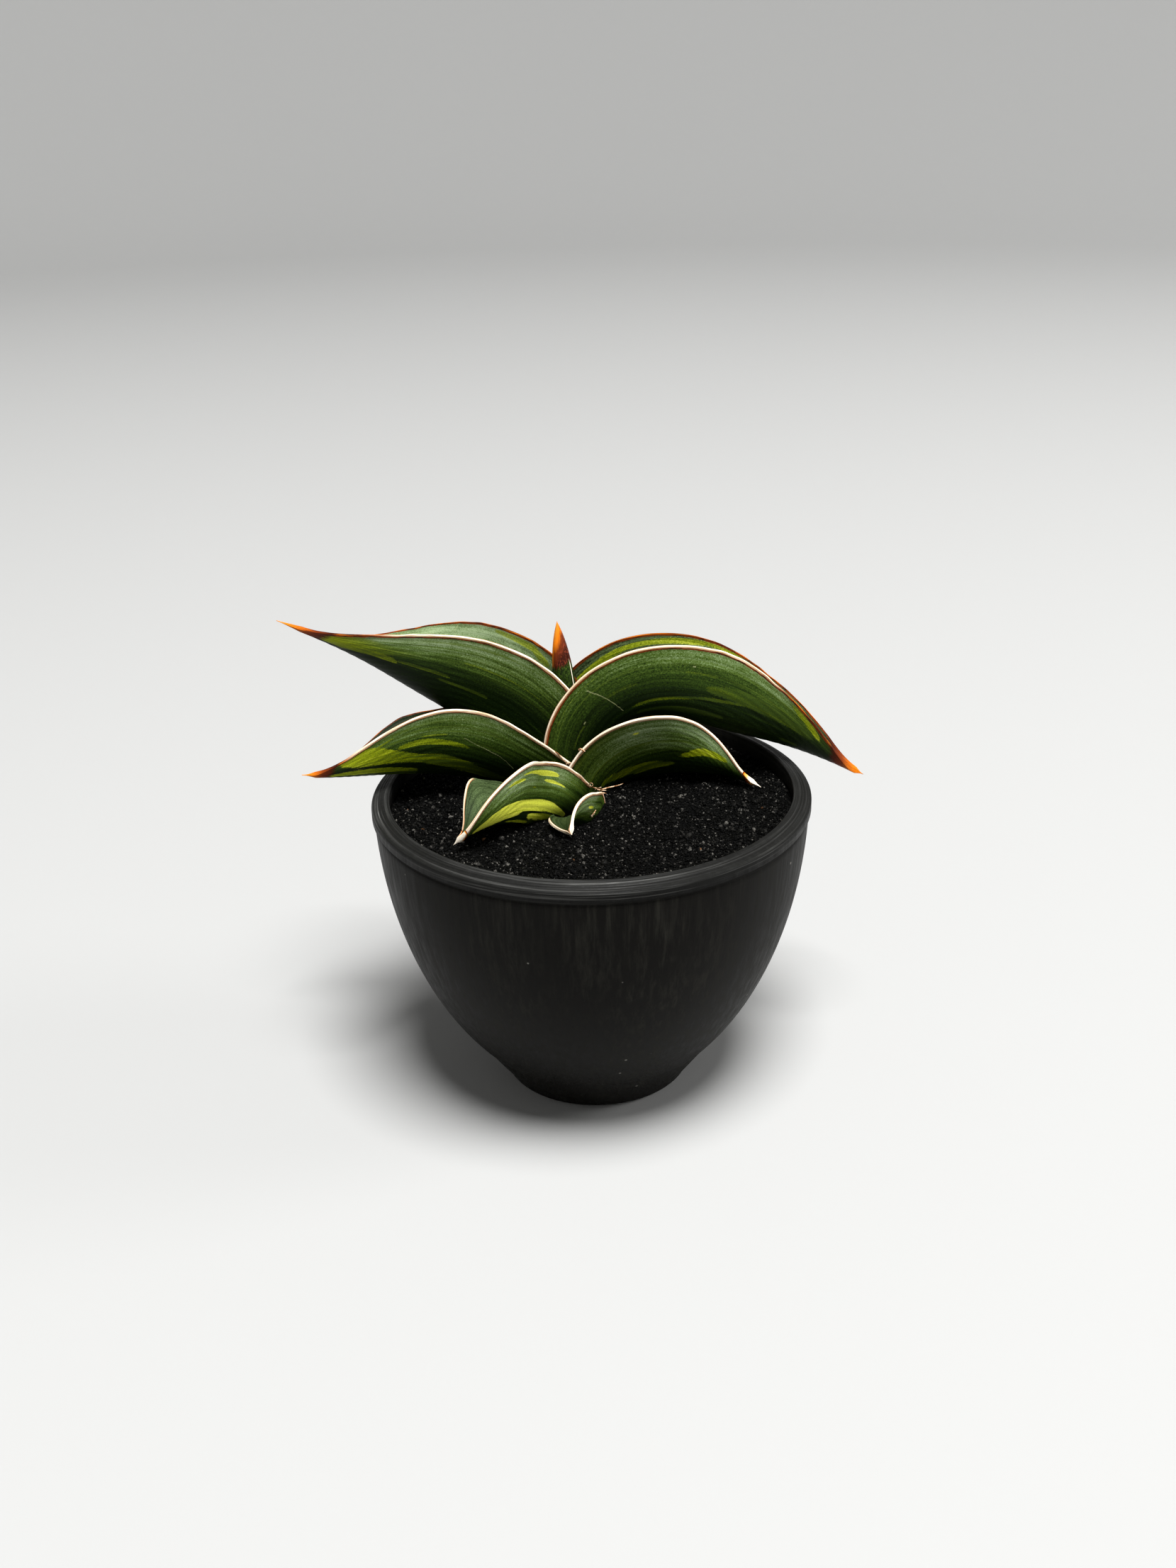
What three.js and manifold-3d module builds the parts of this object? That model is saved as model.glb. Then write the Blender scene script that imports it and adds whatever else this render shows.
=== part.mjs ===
// A potted variegated Sansevieria rorida: two ranks of folded, clasping leaves round a rolled young leaf,
// a buried rhizome with its roots, a gritty soil fill and a round-bellied pot.
// Millimetres, +Z up, -Y towards the front. The origin is the centre of the pot's flat underside.
import * as THREE from 'three';
import { mergeVertices } from 'three/addons/utils/BufferGeometryUtils.js';
import Module from 'manifold-3d';

const wasm = await Module();
wasm.setup();

const GAP = 0.3; // clearance between pieces that touch on the real plant
const FACET = 0.05; // facets flatter than this, such as slivers left by a cut, are merged

// Pot
const POT_HEIGHT = 80;
const RIM_RADIUS = 55;
const RIM_WIDTH = 4.5;
const RIM_FALL = 1.3; // how much lower the outer edge of the rim is than the inner edge
const LIP_HEIGHT = 2.6;
const GROOVE_DEPTH = 0.7;
const BELLY_RADIUS = 54.5;
const BELLY_ROUNDNESS = 0.955; // share of the height that the elliptic belly would need to close
const BELLY_START = 12; // height where the elliptic belly leaves the sloping foot
const BELLY_CROWDING = 1.2; // power by which the belly's bands crowd towards the foot
const OUTER_BANDS = 7;
const INNER_BANDS = 5;
const RIM_BEVEL = 0.5;
const FOOT_RADIUS = 22.3;
const FOOT_EDGE = [[0, 0], [1.9, 0.9], [2.9, 2.6]]; // its rounded edge, out from that radius and up
const WALL = 3.2;
const FLOOR = 3.6;
const POT_SIDES = 48;
const DRAIN_RADIUS = 3;
const DRAIN_CIRCLE = 13;
const DRAIN_COUNT = 4;
const DRAIN_SIDES = 16;

// Soil
const SOIL_LEVEL = 75.5;
const SOIL_WAVE = 0.45;
const SOIL_DIP = 2.2; // hollow in front of the clump, under the lowest leaves
const SOIL_DIP_CENTRE = [-4, -5];
const SOIL_DIP_REACH = 11;
const SOIL_RINGS = 7;
const SOIL_SIDES = 36;

// Rhizome and roots, below the soil
const RHIZOME_CENTRE = [-4, 13, 61];
const RHIZOME_RADII = [14, 16, 9];
const ROOT_COUNT = 5;
const ROOT_RADIUS = 1.3;
const ROOT_REACH = 24;
const ROOT_FLATNESS = 0.8; // the root ball reaches this much less far to front and back than sideways
// Control points of a root's arch, as shares of the reach and as drops below the rhizome's centre.
const ROOT_ARCH = [[0.15, 2], [0.9, 4], [1, 28]];

// Leaves
const STEPS = 72; // steps along a leaf when its keel line is worked out
const STATION = 4; // steps between two drawn cross-sections
const SECTION_SAMPLES = 24; // steps round a half section when its bend is worked out
const EDGE_THICKNESS = 1.2;
const KEEL_THICKNESS = 3;
const TIP_KEEL_THICKNESS = 1.5;
const KEEL_THINNING = [0.1, 0.8]; // shares of the length between which the keel thins
const KEEL_SHARPNESS = 1.3; // power by which the thickness falls off from keel to margin
const KEEL_CLEARANCE = 0.85; // share of the fold's radius that the inner face may fill
const EDGE_STRIP = 1.15; // width of the pale hardened margin
const EDGE_BEAD = 0.3; // how far the rounded margin stands out past the blade
const BLADE_DIP = 0.15; // how much thinner each face is just inside the margin
const BLADE_DIP_SHARES = [0.5, 0.9]; // shares of the half width between which that dip deepens
const WIDEST_STRIP = 0.8; // the margin strip starts no nearer the keel than this share
const SPINE_START = 0.86; // share of the length where the blade rolls up into its spine
const SPINE_RADIUS = 0.75;
const SPINE_POINT = 0.35;
const PITCH_KNOTS = [0, 0.13, 0.4, 0.7, 1];

// Each leaf grows from its foot along a keel line. Lists run from foot to tip: heading is the compass angle
// from +X, pitch the climb, roll the lean about the keel line, fold the angle of each half at its margin,
// keelRadius the roundness of the fold; all angles in degrees. halfWidth is measured round the section from
// keel to margin, footShare is its share at the foot, widest the place of the greatest width, and taper how
// hollow the outline runs out to the tip. They are listed from the innermost leaf outwards.
const LEAVES = {
  leaf_left_upper: {
    foot: [-8.6, 15.5, 69], length: 89.6, halfWidth: 27, footShare: 0.41, widest: 0.32, taper: 2.2,
    heading: [176.6, 164.1, 179.6], pitch: [92.9, 46.1, 27.3, 27.3, 21.5], roll: [3.1, 3.9, 46.5],
    fold: [83.2, 84, 35], keelRadius: [1.4, 3.6, 4.7],
  },
  leaf_right_upper: {
    foot: [4.9, 15.3, 69], length: 89, halfWidth: 22.2, footShare: 0.74, widest: 0.44, taper: 1.43,
    heading: [-13.3, 2.2, -7.4], pitch: [93.4, 88, -9, -17.4, -28.3], roll: [18.3, -8.2, -2.6],
    fold: [81.7, 89, 59.7], keelRadius: [3.8, 4, 2.2],
  },
  leaf_left_middle: {
    foot: [-10.1, 16.5, 69], length: 69.7, halfWidth: 22.1, footShare: 0.58, widest: 0.42, taper: 1.84,
    heading: [195.7, 198.8, 193.3], pitch: [93.1, 23, 14.6, 4.8, 7.2], roll: [-21.6, 12.4, 40.3],
    fold: [85.9, 71.8, 41.5], keelRadius: [5.5, 5.3, 1.2],
  },
  leaf_right_middle: {
    foot: [4.1, 15.5, 69], length: 45.8, halfWidth: 21.9, footShare: 0.75, widest: 0.37, taper: 1.92,
    heading: [-9, -10.9, -33], pitch: [94.8, 39.6, 7.1, -0.6, -21.9], roll: [18.9, -36.3, -44.8],
    fold: [89, 29.9, 89], keelRadius: [6, 4.6, 5.7],
  },
  leaf_left_lower: {
    foot: [-10.5, 8.9, 68.2], length: 46.9, halfWidth: 16.5, footShare: 0.96, widest: 0.59, taper: 1.8,
    heading: [258.4, 243.1, 198.1], pitch: [4, 22.9, 22.8, 14.2, -40.3], roll: [-1.9, 21.5, 27.2],
    fold: [85.1, 61.1, 59], keelRadius: [8.4, 2.1, 5.4],
  },
  leaf_front_lowest: {
    foot: [-0.7, -0.9, 68.6], length: 24.3, halfWidth: 10.4, footShare: 0.64, widest: 0.16, taper: 1.35,
    heading: [234, 253.6, 289.5], pitch: [44.9, 35.8, 32.2, 10.2, -11.4], roll: [46.1, 22.5, 44.2],
    fold: [67.1, 57.3, 55.1], keelRadius: [6, 4.7, 1.3],
  },
};

// The young leaf is still rolled into a spear that leans a little to the left.
const SPEAR_FOOT = [-4, 15, 69];
const SPEAR_TIP = [-7.5, 15, 118.6];
const SPEAR_RADIUS = 3.2;
const SPEAR_SHARPNESS = 9; // length over which the point fills out to about two thirds of the radius
const SPEAR_STEP = 0.12; // share of the radius by which the outer margin overlaps the roll
const SPEAR_SEAM = -35; // compass angle of that overlapping margin, in degrees
const SPEAR_SIDES = 18;
const SPEAR_LAST_TURN = 0.985; // the roll's section stops just short of a full turn, at its margin
const SPEAR_RINGS = 14;
const SPEAR_CROWDING = 1.6; // power by which the rings crowd towards the point

// Places on a half of a cross-section, as shares of the half width from the keel; the margin strip follows.
const BLADE_SHARES = [0, 0.15, 0.45];

const COLOURS = {
  leaf: 0x3e5228, spear: 0x7a5a2c, pot: 0x2b2b2c, soil: 0x1b1a19, rhizome: 0xb9a27a,
};

const radians = THREE.MathUtils.degToRad;
const { clamp, lerp, smoothstep } = THREE.MathUtils;

// A smooth curve through values given at knots from 0 to 1 (evenly spaced where none are given).
function along(values, s, knots = values.map((_, i) => i / (values.length - 1))) {
  const last = values.length - 1;
  const slope = (i) => {
    const a = Math.max(i - 1, 0);
    const b = Math.min(i + 1, last);
    return (values[b] - values[a]) / (knots[b] - knots[a]);
  };
  let i = 0;
  while (i < last - 1 && s >= knots[i + 1]) i += 1;
  const h = knots[i + 1] - knots[i];
  const t = (s - knots[i]) / h;
  return values[i] * (1 + 2 * t) * (1 - t) ** 2 + values[i + 1] * t * t * (3 - 2 * t)
    + h * (slope(i) * t * (1 - t) ** 2 - slope(i + 1) * t * t * (1 - t));
}

// Direction of growth and the two directions across the leaf at share s of its length.
function leafAxes(leaf, s) {
  const heading = radians(along(leaf.heading, s));
  const pitch = radians(along(leaf.pitch, s, PITCH_KNOTS));
  const roll = radians(along(leaf.roll, s));
  const forward = new THREE.Vector3(
    Math.cos(pitch) * Math.cos(heading), Math.cos(pitch) * Math.sin(heading), Math.sin(pitch));
  const side = new THREE.Vector3(-Math.sin(heading), Math.cos(heading), 0);
  const inward = new THREE.Vector3().crossVectors(forward, side);
  return {
    forward,
    across: side.clone().multiplyScalar(Math.cos(roll)).addScaledVector(inward, Math.sin(roll)),
    inward: inward.clone().multiplyScalar(Math.cos(roll)).addScaledVector(side, -Math.sin(roll)),
  };
}

// The keel line as points, one for each step, walked from the foot.
function keelLine(leaf) {
  const points = [new THREE.Vector3(...leaf.foot)];
  for (let k = 1; k <= STEPS; k += 1) {
    const before = leafAxes(leaf, (k - 1) / STEPS).forward;
    const after = leafAxes(leaf, k / STEPS).forward;
    points.push(points[k - 1].clone().addScaledVector(before.add(after), leaf.length / STEPS / 2));
  }
  return points;
}

// Half width round the section: a quarter sine up to the widest place, then a falling power curve.
function halfWidth(leaf, s) {
  const rise = leaf.footShare + (1 - leaf.footShare) * Math.sin(clamp(s / leaf.widest, 0, 1) * Math.PI / 2);
  const r = clamp((s - leaf.widest) / (1 - leaf.widest), 0, 1);
  const fall = (1 - r * r) ** leaf.taper;
  const spine = lerp(SPINE_RADIUS, SPINE_POINT, smoothstep(s, SPINE_START, 1));
  return Math.max(leaf.halfWidth * (s < leaf.widest ? rise : fall), spine);
}

// Half thickness at share v from the keel (0) to the margin (1).
function halfThickness(s, v) {
  const spineShare = smoothstep(s, SPINE_START, 1);
  const bladeKeel = lerp(KEEL_THICKNESS, TIP_KEEL_THICKNESS, smoothstep(s, ...KEEL_THINNING)) / 2;
  const keel = lerp(bladeKeel, SPINE_POINT, spineShare);
  const edge = lerp(EDGE_THICKNESS / 2, SPINE_POINT, spineShare);
  const dip = v < 1 ? BLADE_DIP * smoothstep(v, ...BLADE_DIP_SHARES) * (1 - spineShare) : 0;
  return edge + (keel - edge) * (1 - v) ** KEEL_SHARPNESS - dip;
}

// A folded half bends by fold * tanh(u / (keelRadius * fold)) at distance u from the keel.
function sectionPoint(u, fold, keelRadius) {
  const bend = (w) => fold * Math.tanh(w / (keelRadius * fold));
  const step = u / SECTION_SAMPLES;
  let x = 0;
  let y = 0;
  for (let k = 0; k < SECTION_SAMPLES; k += 1) {
    const angle = bend((k + 0.5) * step);
    x += Math.cos(angle) * step;
    y += Math.sin(angle) * step;
  }
  return { x, y, angle: bend(u) };
}

// Shares across the section from one margin (-1) over the keel (0) to the other (1).
function sectionShares(width) {
  const stripStart = Math.max(1 - EDGE_STRIP / width, WIDEST_STRIP);
  const half = [...BLADE_SHARES, stripStart, 1];
  return [...half.slice(1).reverse().map((v) => -v), ...half];
}

// One closed ring of a leaf: the outer face from margin to margin, a rounded margin, the inner face back.
function leafRing(leaf, s, keel, grow) {
  const { across, inward } = leafAxes(leaf, s);
  const width = halfWidth(leaf, s) + grow;
  const fold = radians(along(leaf.fold, s));
  const keelRadius = along(leaf.keelRadius, s);
  const place = (v, normal, bead) => {
    const p = sectionPoint(Math.abs(v) * width, fold, keelRadius);
    const x = p.x + bead * Math.cos(p.angle) - normal * Math.sin(p.angle);
    const y = p.y + bead * Math.sin(p.angle) + normal * Math.cos(p.angle);
    return keel.clone().addScaledVector(across, (v < 0 ? -1 : 1) * x).addScaledVector(inward, y);
  };
  const shares = sectionShares(width);
  const half = (v) => halfThickness(s, Math.abs(v)) + grow;
  const innerLimit = KEEL_CLEARANCE * keelRadius + grow;
  return [
    ...shares.map((v) => place(v, -half(v), 0)),
    place(1, 0, EDGE_BEAD),
    ...shares.toReversed().map((v) => place(v, Math.min(half(v), innerLimit), 0)),
    place(-1, 0, EDGE_BEAD),
  ];
}

// Joins rings of equal length into a skin; faces point out when the rings turn left about the way forward.
function skin(rings, cap) {
  const count = rings[0].length;
  const triangles = [];
  const quad = (a, b, c, d) => triangles.push(a, b, c, a, c, d);
  for (let r = 0; r + 1 < rings.length; r += 1) {
    for (let k = 0; k < count; k += 1) {
      const next = (k + 1) % count;
      quad(r * count + k, r * count + next, (r + 1) * count + next, (r + 1) * count + k);
    }
  }
  cap(triangles, count, (rings.length - 1) * count);
  const geometry = new THREE.BufferGeometry().setFromPoints(rings.flat());
  geometry.setIndex(triangles);
  return geometry;
}

// A leaf's end faces are strips between its outer and inner faces.
function leafCaps(triangles, count, top) {
  const faces = count / 2 - 1;
  const inner = (k) => 2 * faces - k;
  const strip = (start, flip) => {
    const add = (a, b, c) => triangles.push(start + a, start + (flip ? c : b), start + (flip ? b : c));
    for (let k = 0; k + 1 < faces; k += 1) {
      add(k, inner(k), inner(k + 1));
      add(k, inner(k + 1), k + 1);
    }
    add(0, count - 1, inner(0));
    add(faces - 1, inner(faces - 1), faces);
  };
  strip(0, false);
  strip(top, true);
}

function leafGeometry(leaf, grow) {
  const keel = keelLine(leaf);
  const rings = [];
  for (let k = 0; k <= STEPS; k += STATION) {
    const end = k === 0 ? -grow : k === STEPS ? grow : 0;
    const centre = keel[k].clone().addScaledVector(leafAxes(leaf, k / STEPS).forward, end);
    rings.push(leafRing(leaf, k / STEPS, centre, grow));
  }
  return skin(rings, leafCaps);
}

// A cap that runs to one point in the middle of each end ring.
function pointCaps(rings) {
  const middle = (ring) => {
    const sum = ring.reduce((total, p) => total.add(p), new THREE.Vector3());
    return sum.divideScalar(ring.length);
  };
  return [Array(rings[0].length).fill(middle(rings[0])), ...rings,
    Array(rings[0].length).fill(middle(rings.at(-1)))];
}

// The rolled young leaf: a solid cone whose section is a spiral, so one margin overlaps the roll.
function spearGeometry(grow) {
  const foot = new THREE.Vector3(...SPEAR_FOOT);
  const tip = new THREE.Vector3(...SPEAR_TIP);
  const length = foot.distanceTo(tip);
  const seam = radians(SPEAR_SEAM);
  const rings = [];
  for (let r = 0; r <= SPEAR_RINGS; r += 1) {
    const share = 1 - (1 - r / SPEAR_RINGS) ** SPEAR_CROWDING;
    const below = length * (1 - share);
    const radius = Math.max(SPEAR_RADIUS * (1 - Math.exp(-below / SPEAR_SHARPNESS)), SPINE_POINT) + grow;
    const centre = foot.clone().lerp(tip, share);
    const ring = [];
    for (let k = 0; k <= SPEAR_SIDES; k += 1) {
      const turn = Math.min(k / SPEAR_SIDES, SPEAR_LAST_TURN);
      const angle = seam + turn * 2 * Math.PI;
      const reach = radius * (1 + SPEAR_STEP * (0.5 - turn));
      ring.push(centre.clone().add(new THREE.Vector3(reach * Math.cos(angle), reach * Math.sin(angle), 0)));
    }
    rings.push(ring);
  }
  return skin(pointCaps(rings), () => {});
}

// Closed mesh to solid and back; vertices at the same place become one.
function toSolid(geometry) {
  const bare = new THREE.BufferGeometry();
  bare.setAttribute('position', geometry.getAttribute('position'));
  bare.setIndex(geometry.getIndex());
  const merged = mergeVertices(bare, 1e-4);
  const index = [...merged.getIndex().array];
  const triangles = [];
  for (let k = 0; k < index.length; k += 3) {
    const [a, b, c] = index.slice(k, k + 3);
    if (a !== b && b !== c && c !== a) triangles.push(a, b, c);
  }
  return new wasm.Manifold(new wasm.Mesh({
    numProp: 3,
    vertProperties: new Float32Array(merged.getAttribute('position').array),
    triVerts: new Uint32Array(triangles),
  }));
}

function toGeometry(solid) {
  const mesh = solid.simplify(FACET).getMesh();
  const geometry = new THREE.BufferGeometry();
  geometry.setAttribute('position', new THREE.BufferAttribute(new Float32Array(mesh.vertProperties), 3));
  geometry.setIndex(new THREE.BufferAttribute(new Uint32Array(mesh.triVerts), 1));
  geometry.computeVertexNormals();
  return geometry;
}

// The largest connected piece of a solid.
function largest(solid) {
  return solid.decompose().reduce((best, piece) => (piece.volume() > best.volume() ? piece : best));
}

// A lathe profile is given as [radius, height] pairs and turned about +Z.
function turned(profile, sides) {
  const points = profile.map(([radius, height]) => new THREE.Vector2(radius, height));
  return new THREE.LatheGeometry(points, sides).rotateX(Math.PI / 2);
}

// Outer radius of the pot's belly: an ellipse that is fullest at the rim.
function bellyRadius(height) {
  const below = BELLY_ROUNDNESS * (1 - height / POT_HEIGHT);
  return BELLY_RADIUS * Math.sqrt(1 - below * below);
}

// Points up the belly, closer together towards the foot, where it curves most.
function bellyCurve(from, to, count, inset) {
  const heights = Array.from({ length: count + 1 }, (_, k) => lerp(from, to, (k / count) ** BELLY_CROWDING));
  return heights.map((height) => [bellyRadius(height) - inset, height]);
}

// Inner wall from the floor's edge to the mouth; inset shrinks it, which gives the soil its outside.
function innerWall(top, inset) {
  const wallTop = POT_HEIGHT - LIP_HEIGHT - RIM_WIDTH;
  return [
    [FOOT_RADIUS - WALL / 2 - inset, FLOOR + inset],
    [FOOT_RADIUS + 1 - inset, FLOOR + 1 + inset],
    ...bellyCurve(BELLY_START + 2, Math.min(wallTop, top - 1), INNER_BANDS, WALL + inset),
    [RIM_RADIUS - RIM_WIDTH - inset, top],
  ];
}

function potSolid() {
  const lipTop = POT_HEIGHT - RIM_FALL;
  const lipFoot = lipTop - LIP_HEIGHT;
  const outside = [
    ...FOOT_EDGE.map(([out, up]) => [FOOT_RADIUS + out, up]),
    ...bellyCurve(BELLY_START, lipFoot - 2 * GROOVE_DEPTH, OUTER_BANDS, 0),
    [RIM_RADIUS - GROOVE_DEPTH, lipFoot - GROOVE_DEPTH],
    [RIM_RADIUS, lipFoot],
    [RIM_RADIUS, lipTop - RIM_BEVEL],
    [RIM_RADIUS - RIM_BEVEL, lipTop],
  ];
  const inside = innerWall(POT_HEIGHT - RIM_BEVEL, 0).reverse();
  const rimTop = [RIM_RADIUS - RIM_WIDTH + RIM_BEVEL, POT_HEIGHT];
  const body = toSolid(turned([[0, 0], ...outside, rimTop, ...inside, [0, FLOOR]], POT_SIDES));
  const drill = new THREE.CylinderGeometry(DRAIN_RADIUS, DRAIN_RADIUS, 4 * FLOOR, DRAIN_SIDES);
  drill.rotateX(Math.PI / 2);
  const drains = Array.from({ length: DRAIN_COUNT }, (_, k) => {
    const angle = (k + 0.5) * 2 * Math.PI / DRAIN_COUNT;
    const hole = drill.clone().translate(DRAIN_CIRCLE * Math.cos(angle), DRAIN_CIRCLE * Math.sin(angle), 0);
    return toSolid(hole);
  });
  return drains.reduce((pot, drain) => pot.subtract(drain), body);
}

// Low waves and one hollow of the soil's top at a place.
function soilHeight(x, y) {
  const away = Math.hypot(x - SOIL_DIP_CENTRE[0], y - SOIL_DIP_CENTRE[1]) / SOIL_DIP_REACH;
  return SOIL_LEVEL - SOIL_DIP * Math.exp(-away * away)
    + SOIL_WAVE * (Math.sin(0.31 * x + 0.8) * Math.cos(0.27 * y - 0.4) + 0.5 * Math.sin(0.63 * x - 0.52 * y));
}

// The soil fills the pot to just below the mouth; its waves fade out towards the wall.
function soilSolid() {
  const fit = innerWall(SOIL_LEVEL, GAP);
  const rim = fit.at(-1)[0];
  const profile = [[0, FLOOR + GAP], ...fit];
  for (let k = SOIL_RINGS - 1; k >= 0; k -= 1) {
    profile.push([rim * k / SOIL_RINGS, SOIL_LEVEL]);
  }
  const geometry = turned(profile, SOIL_SIDES);
  const position = geometry.getAttribute('position');
  for (let k = 0; k < position.count; k += 1) {
    const x = position.getX(k);
    const y = position.getY(k);
    const onTop = Math.abs(position.getZ(k) - SOIL_LEVEL) < GAP;
    const onWall = rim - Math.hypot(x, y) < GAP;
    if (onTop && !onWall) position.setZ(k, soilHeight(x, y));
  }
  return toSolid(geometry);
}

// The rhizome is a lumpy rounded body; its roots arch outwards and down on all sides.
function rhizomeSolid(grow) {
  const [x, y, z] = RHIZOME_CENTRE;
  const body = new THREE.SphereGeometry(1, 12, 8).rotateX(Math.PI / 2);
  body.scale(...RHIZOME_RADII.map((radius) => radius + grow)).translate(x, y, z);
  const roots = Array.from({ length: ROOT_COUNT }, (_, k) => {
    const angle = (k + 0.25) * 2 * Math.PI / ROOT_COUNT;
    const sideways = ROOT_REACH * Math.cos(angle);
    const backwards = ROOT_REACH * ROOT_FLATNESS * Math.sin(angle);
    const arch = ROOT_ARCH.map(([share, drop]) => (
      new THREE.Vector3(x + share * sideways, y + share * backwards, z - drop)));
    arch[2].z -= 2 * grow;
    const path = new THREE.QuadraticBezierCurve3(...arch);
    const section = new THREE.Shape().absarc(0, 0, ROOT_RADIUS + grow, 0, 2 * Math.PI);
    return toSolid(new THREE.ExtrudeGeometry(section, { steps: 6, extrudePath: path, curveSegments: 3 }));
  });
  return roots.reduce((all, root) => all.add(root), toSolid(body));
}

function mesh(name, solid, colour, roughness) {
  const material = new THREE.MeshStandardMaterial({ color: colour, roughness, metalness: 0 });
  const result = new THREE.Mesh(toGeometry(solid), material);
  result.name = name;
  return result;
}

// Every piece gives way to the pieces inside it, with the clearance kept between them.
const group = new THREE.Group();
const grown = [toSolid(spearGeometry(GAP))];
const fitted = (solid) => largest(grown.reduce((rest, inner) => rest.subtract(inner), solid));
group.add(mesh('leaf_spear', toSolid(spearGeometry(0)), COLOURS.spear, 0.5));
for (const [name, leaf] of Object.entries(LEAVES)) {
  group.add(mesh(name, fitted(toSolid(leafGeometry(leaf, 0))), COLOURS.leaf, 0.5));
  grown.push(toSolid(leafGeometry(leaf, GAP)));
}
group.add(mesh('rhizome', fitted(rhizomeSolid(0)), COLOURS.rhizome, 0.8));
grown.push(rhizomeSolid(GAP));
group.add(mesh('soil', fitted(soilSolid()), COLOURS.soil, 0.95));
group.add(mesh('pot', potSolid(), COLOURS.pot, 0.5));
export default group;
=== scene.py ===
"""Looks of a potted variegated Sansevieria rorida: folded leaves with papery margins, grit and a turned pot."""

import math

import bpy
import numpy as np
from mathutils import Matrix, Vector
from mathutils.bvhtree import BVHTree


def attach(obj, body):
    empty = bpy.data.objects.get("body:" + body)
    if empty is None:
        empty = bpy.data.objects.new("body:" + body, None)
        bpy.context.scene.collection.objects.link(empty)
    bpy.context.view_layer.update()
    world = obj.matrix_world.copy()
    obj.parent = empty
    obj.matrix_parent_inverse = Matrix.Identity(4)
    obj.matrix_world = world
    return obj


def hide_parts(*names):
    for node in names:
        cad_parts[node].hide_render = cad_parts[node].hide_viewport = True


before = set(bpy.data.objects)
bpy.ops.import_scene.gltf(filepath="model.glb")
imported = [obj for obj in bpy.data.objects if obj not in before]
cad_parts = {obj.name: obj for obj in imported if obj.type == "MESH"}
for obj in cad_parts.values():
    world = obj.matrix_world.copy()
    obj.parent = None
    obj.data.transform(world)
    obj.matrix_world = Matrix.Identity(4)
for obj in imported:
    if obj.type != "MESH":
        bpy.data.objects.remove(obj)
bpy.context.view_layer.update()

# Sizes are in millimetres, as the plant is measured. A mesh gets them in metres.
MM = 0.001
SEED = 41

# Camera, in the photograph's own pixels and in millimetres
PHOTO_HEIGHT = 2212
FOCAL_PIXELS = 2400
CAMERA_TARGET = (-0.745, 0, 80.616)
CAMERA_DISTANCE = 426.89
CAMERA_TILT = math.radians(24.2)
CAMERA_ROLL = math.radians(-1.433)

# Leaves: the driving sizes that the solids have too, and the finer ones of the looks
EDGE_THICKNESS = 0.7
KEEL_THICKNESS = 3
TIP_KEEL_THICKNESS = 1.5
KEEL_THINNING = (0.1, 0.8)
KEEL_SHARPNESS = 1.3
KEEL_CLEARANCE = 0.85
EDGE_STRIP = 0.85
EDGE_BEAD = 0.25
WARM_THINNING = 0.7
BLADE_DIP = 0.15
BLADE_DIP_SHARES = (0.5, 0.9)
WIDEST_STRIP = 0.8
SPINE_START = 0.86
SPINE_RADIUS = 0.75
SPINE_POINT = 0.07
PITCH_KNOTS = (0, 0.13, 0.4, 0.7, 1)
RIB_HEIGHT = 0.035
RIB_SPACING = 1.7
RIB_FULL_AT = 3
EDGE_WAVE = 0.13
EDGE_WAVE_LENGTH = 2.6
EDGE_WAVE_REACH = 1.6
EDGE_WAVE_WIDTH = 4
NEEDLE_SLANT = 0.22
NEEDLE_RIM = 0.6

LEAF_ROWS = 56
ROWS_PER_MM = 1.05
BLADE_COLUMNS = 58
STRIP_COLUMNS = 4
BEAD_COLUMNS = 5
BAND_SOFTNESS = 0.3
OLIVE_SOFTNESS = 1.3
LEAST_SOFTNESS = 0.2
THIN_BAND_SOFTNESS = 0.6
BAND_POINT = 0.25
LEFT, RIGHT = 1, -1
SECTION_SAMPLES = 24
# Painted shade at the leaf's foot, deep in the clump, and the shares over which it lifts; then the grey's fall-off
# towards the tip
FOOT_PAINTED_SHADE = 0.35
FOOT_PAINTED_SHADE_SHARES = (0.05, 0.4)
TIP_BLOOM = 0.6
TIP_BLOOM_SHARES = (0.1, 0.3)
NEVER = (3, 4)

# The leaves' grain is laid out in centimetres, each leaf on a plot of its own
GRAIN_SCALE = 0.1
GRAIN_LIP = 0.04
PLOT = 20

# What most leaves share. From foot to tip, warm and bare give the shares of the length between which the left and the
# right margin turns into a thin orange-brown one, and becomes too thin to show; spread widens or narrows each half.
# dryness is how fast the spine pales towards its tip, and edging the strength of the brown line inside the margin,
# which where edging is low stands as a painted shadow line.
PLAIN_LEAF = dict(
    warm=(NEVER, NEVER), bare=(NEVER, NEVER), spread=((1, 1), (1, 1)), needle=0, dryness=1, frost_and_light=0, edging=0,
    inner=[],
)
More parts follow.
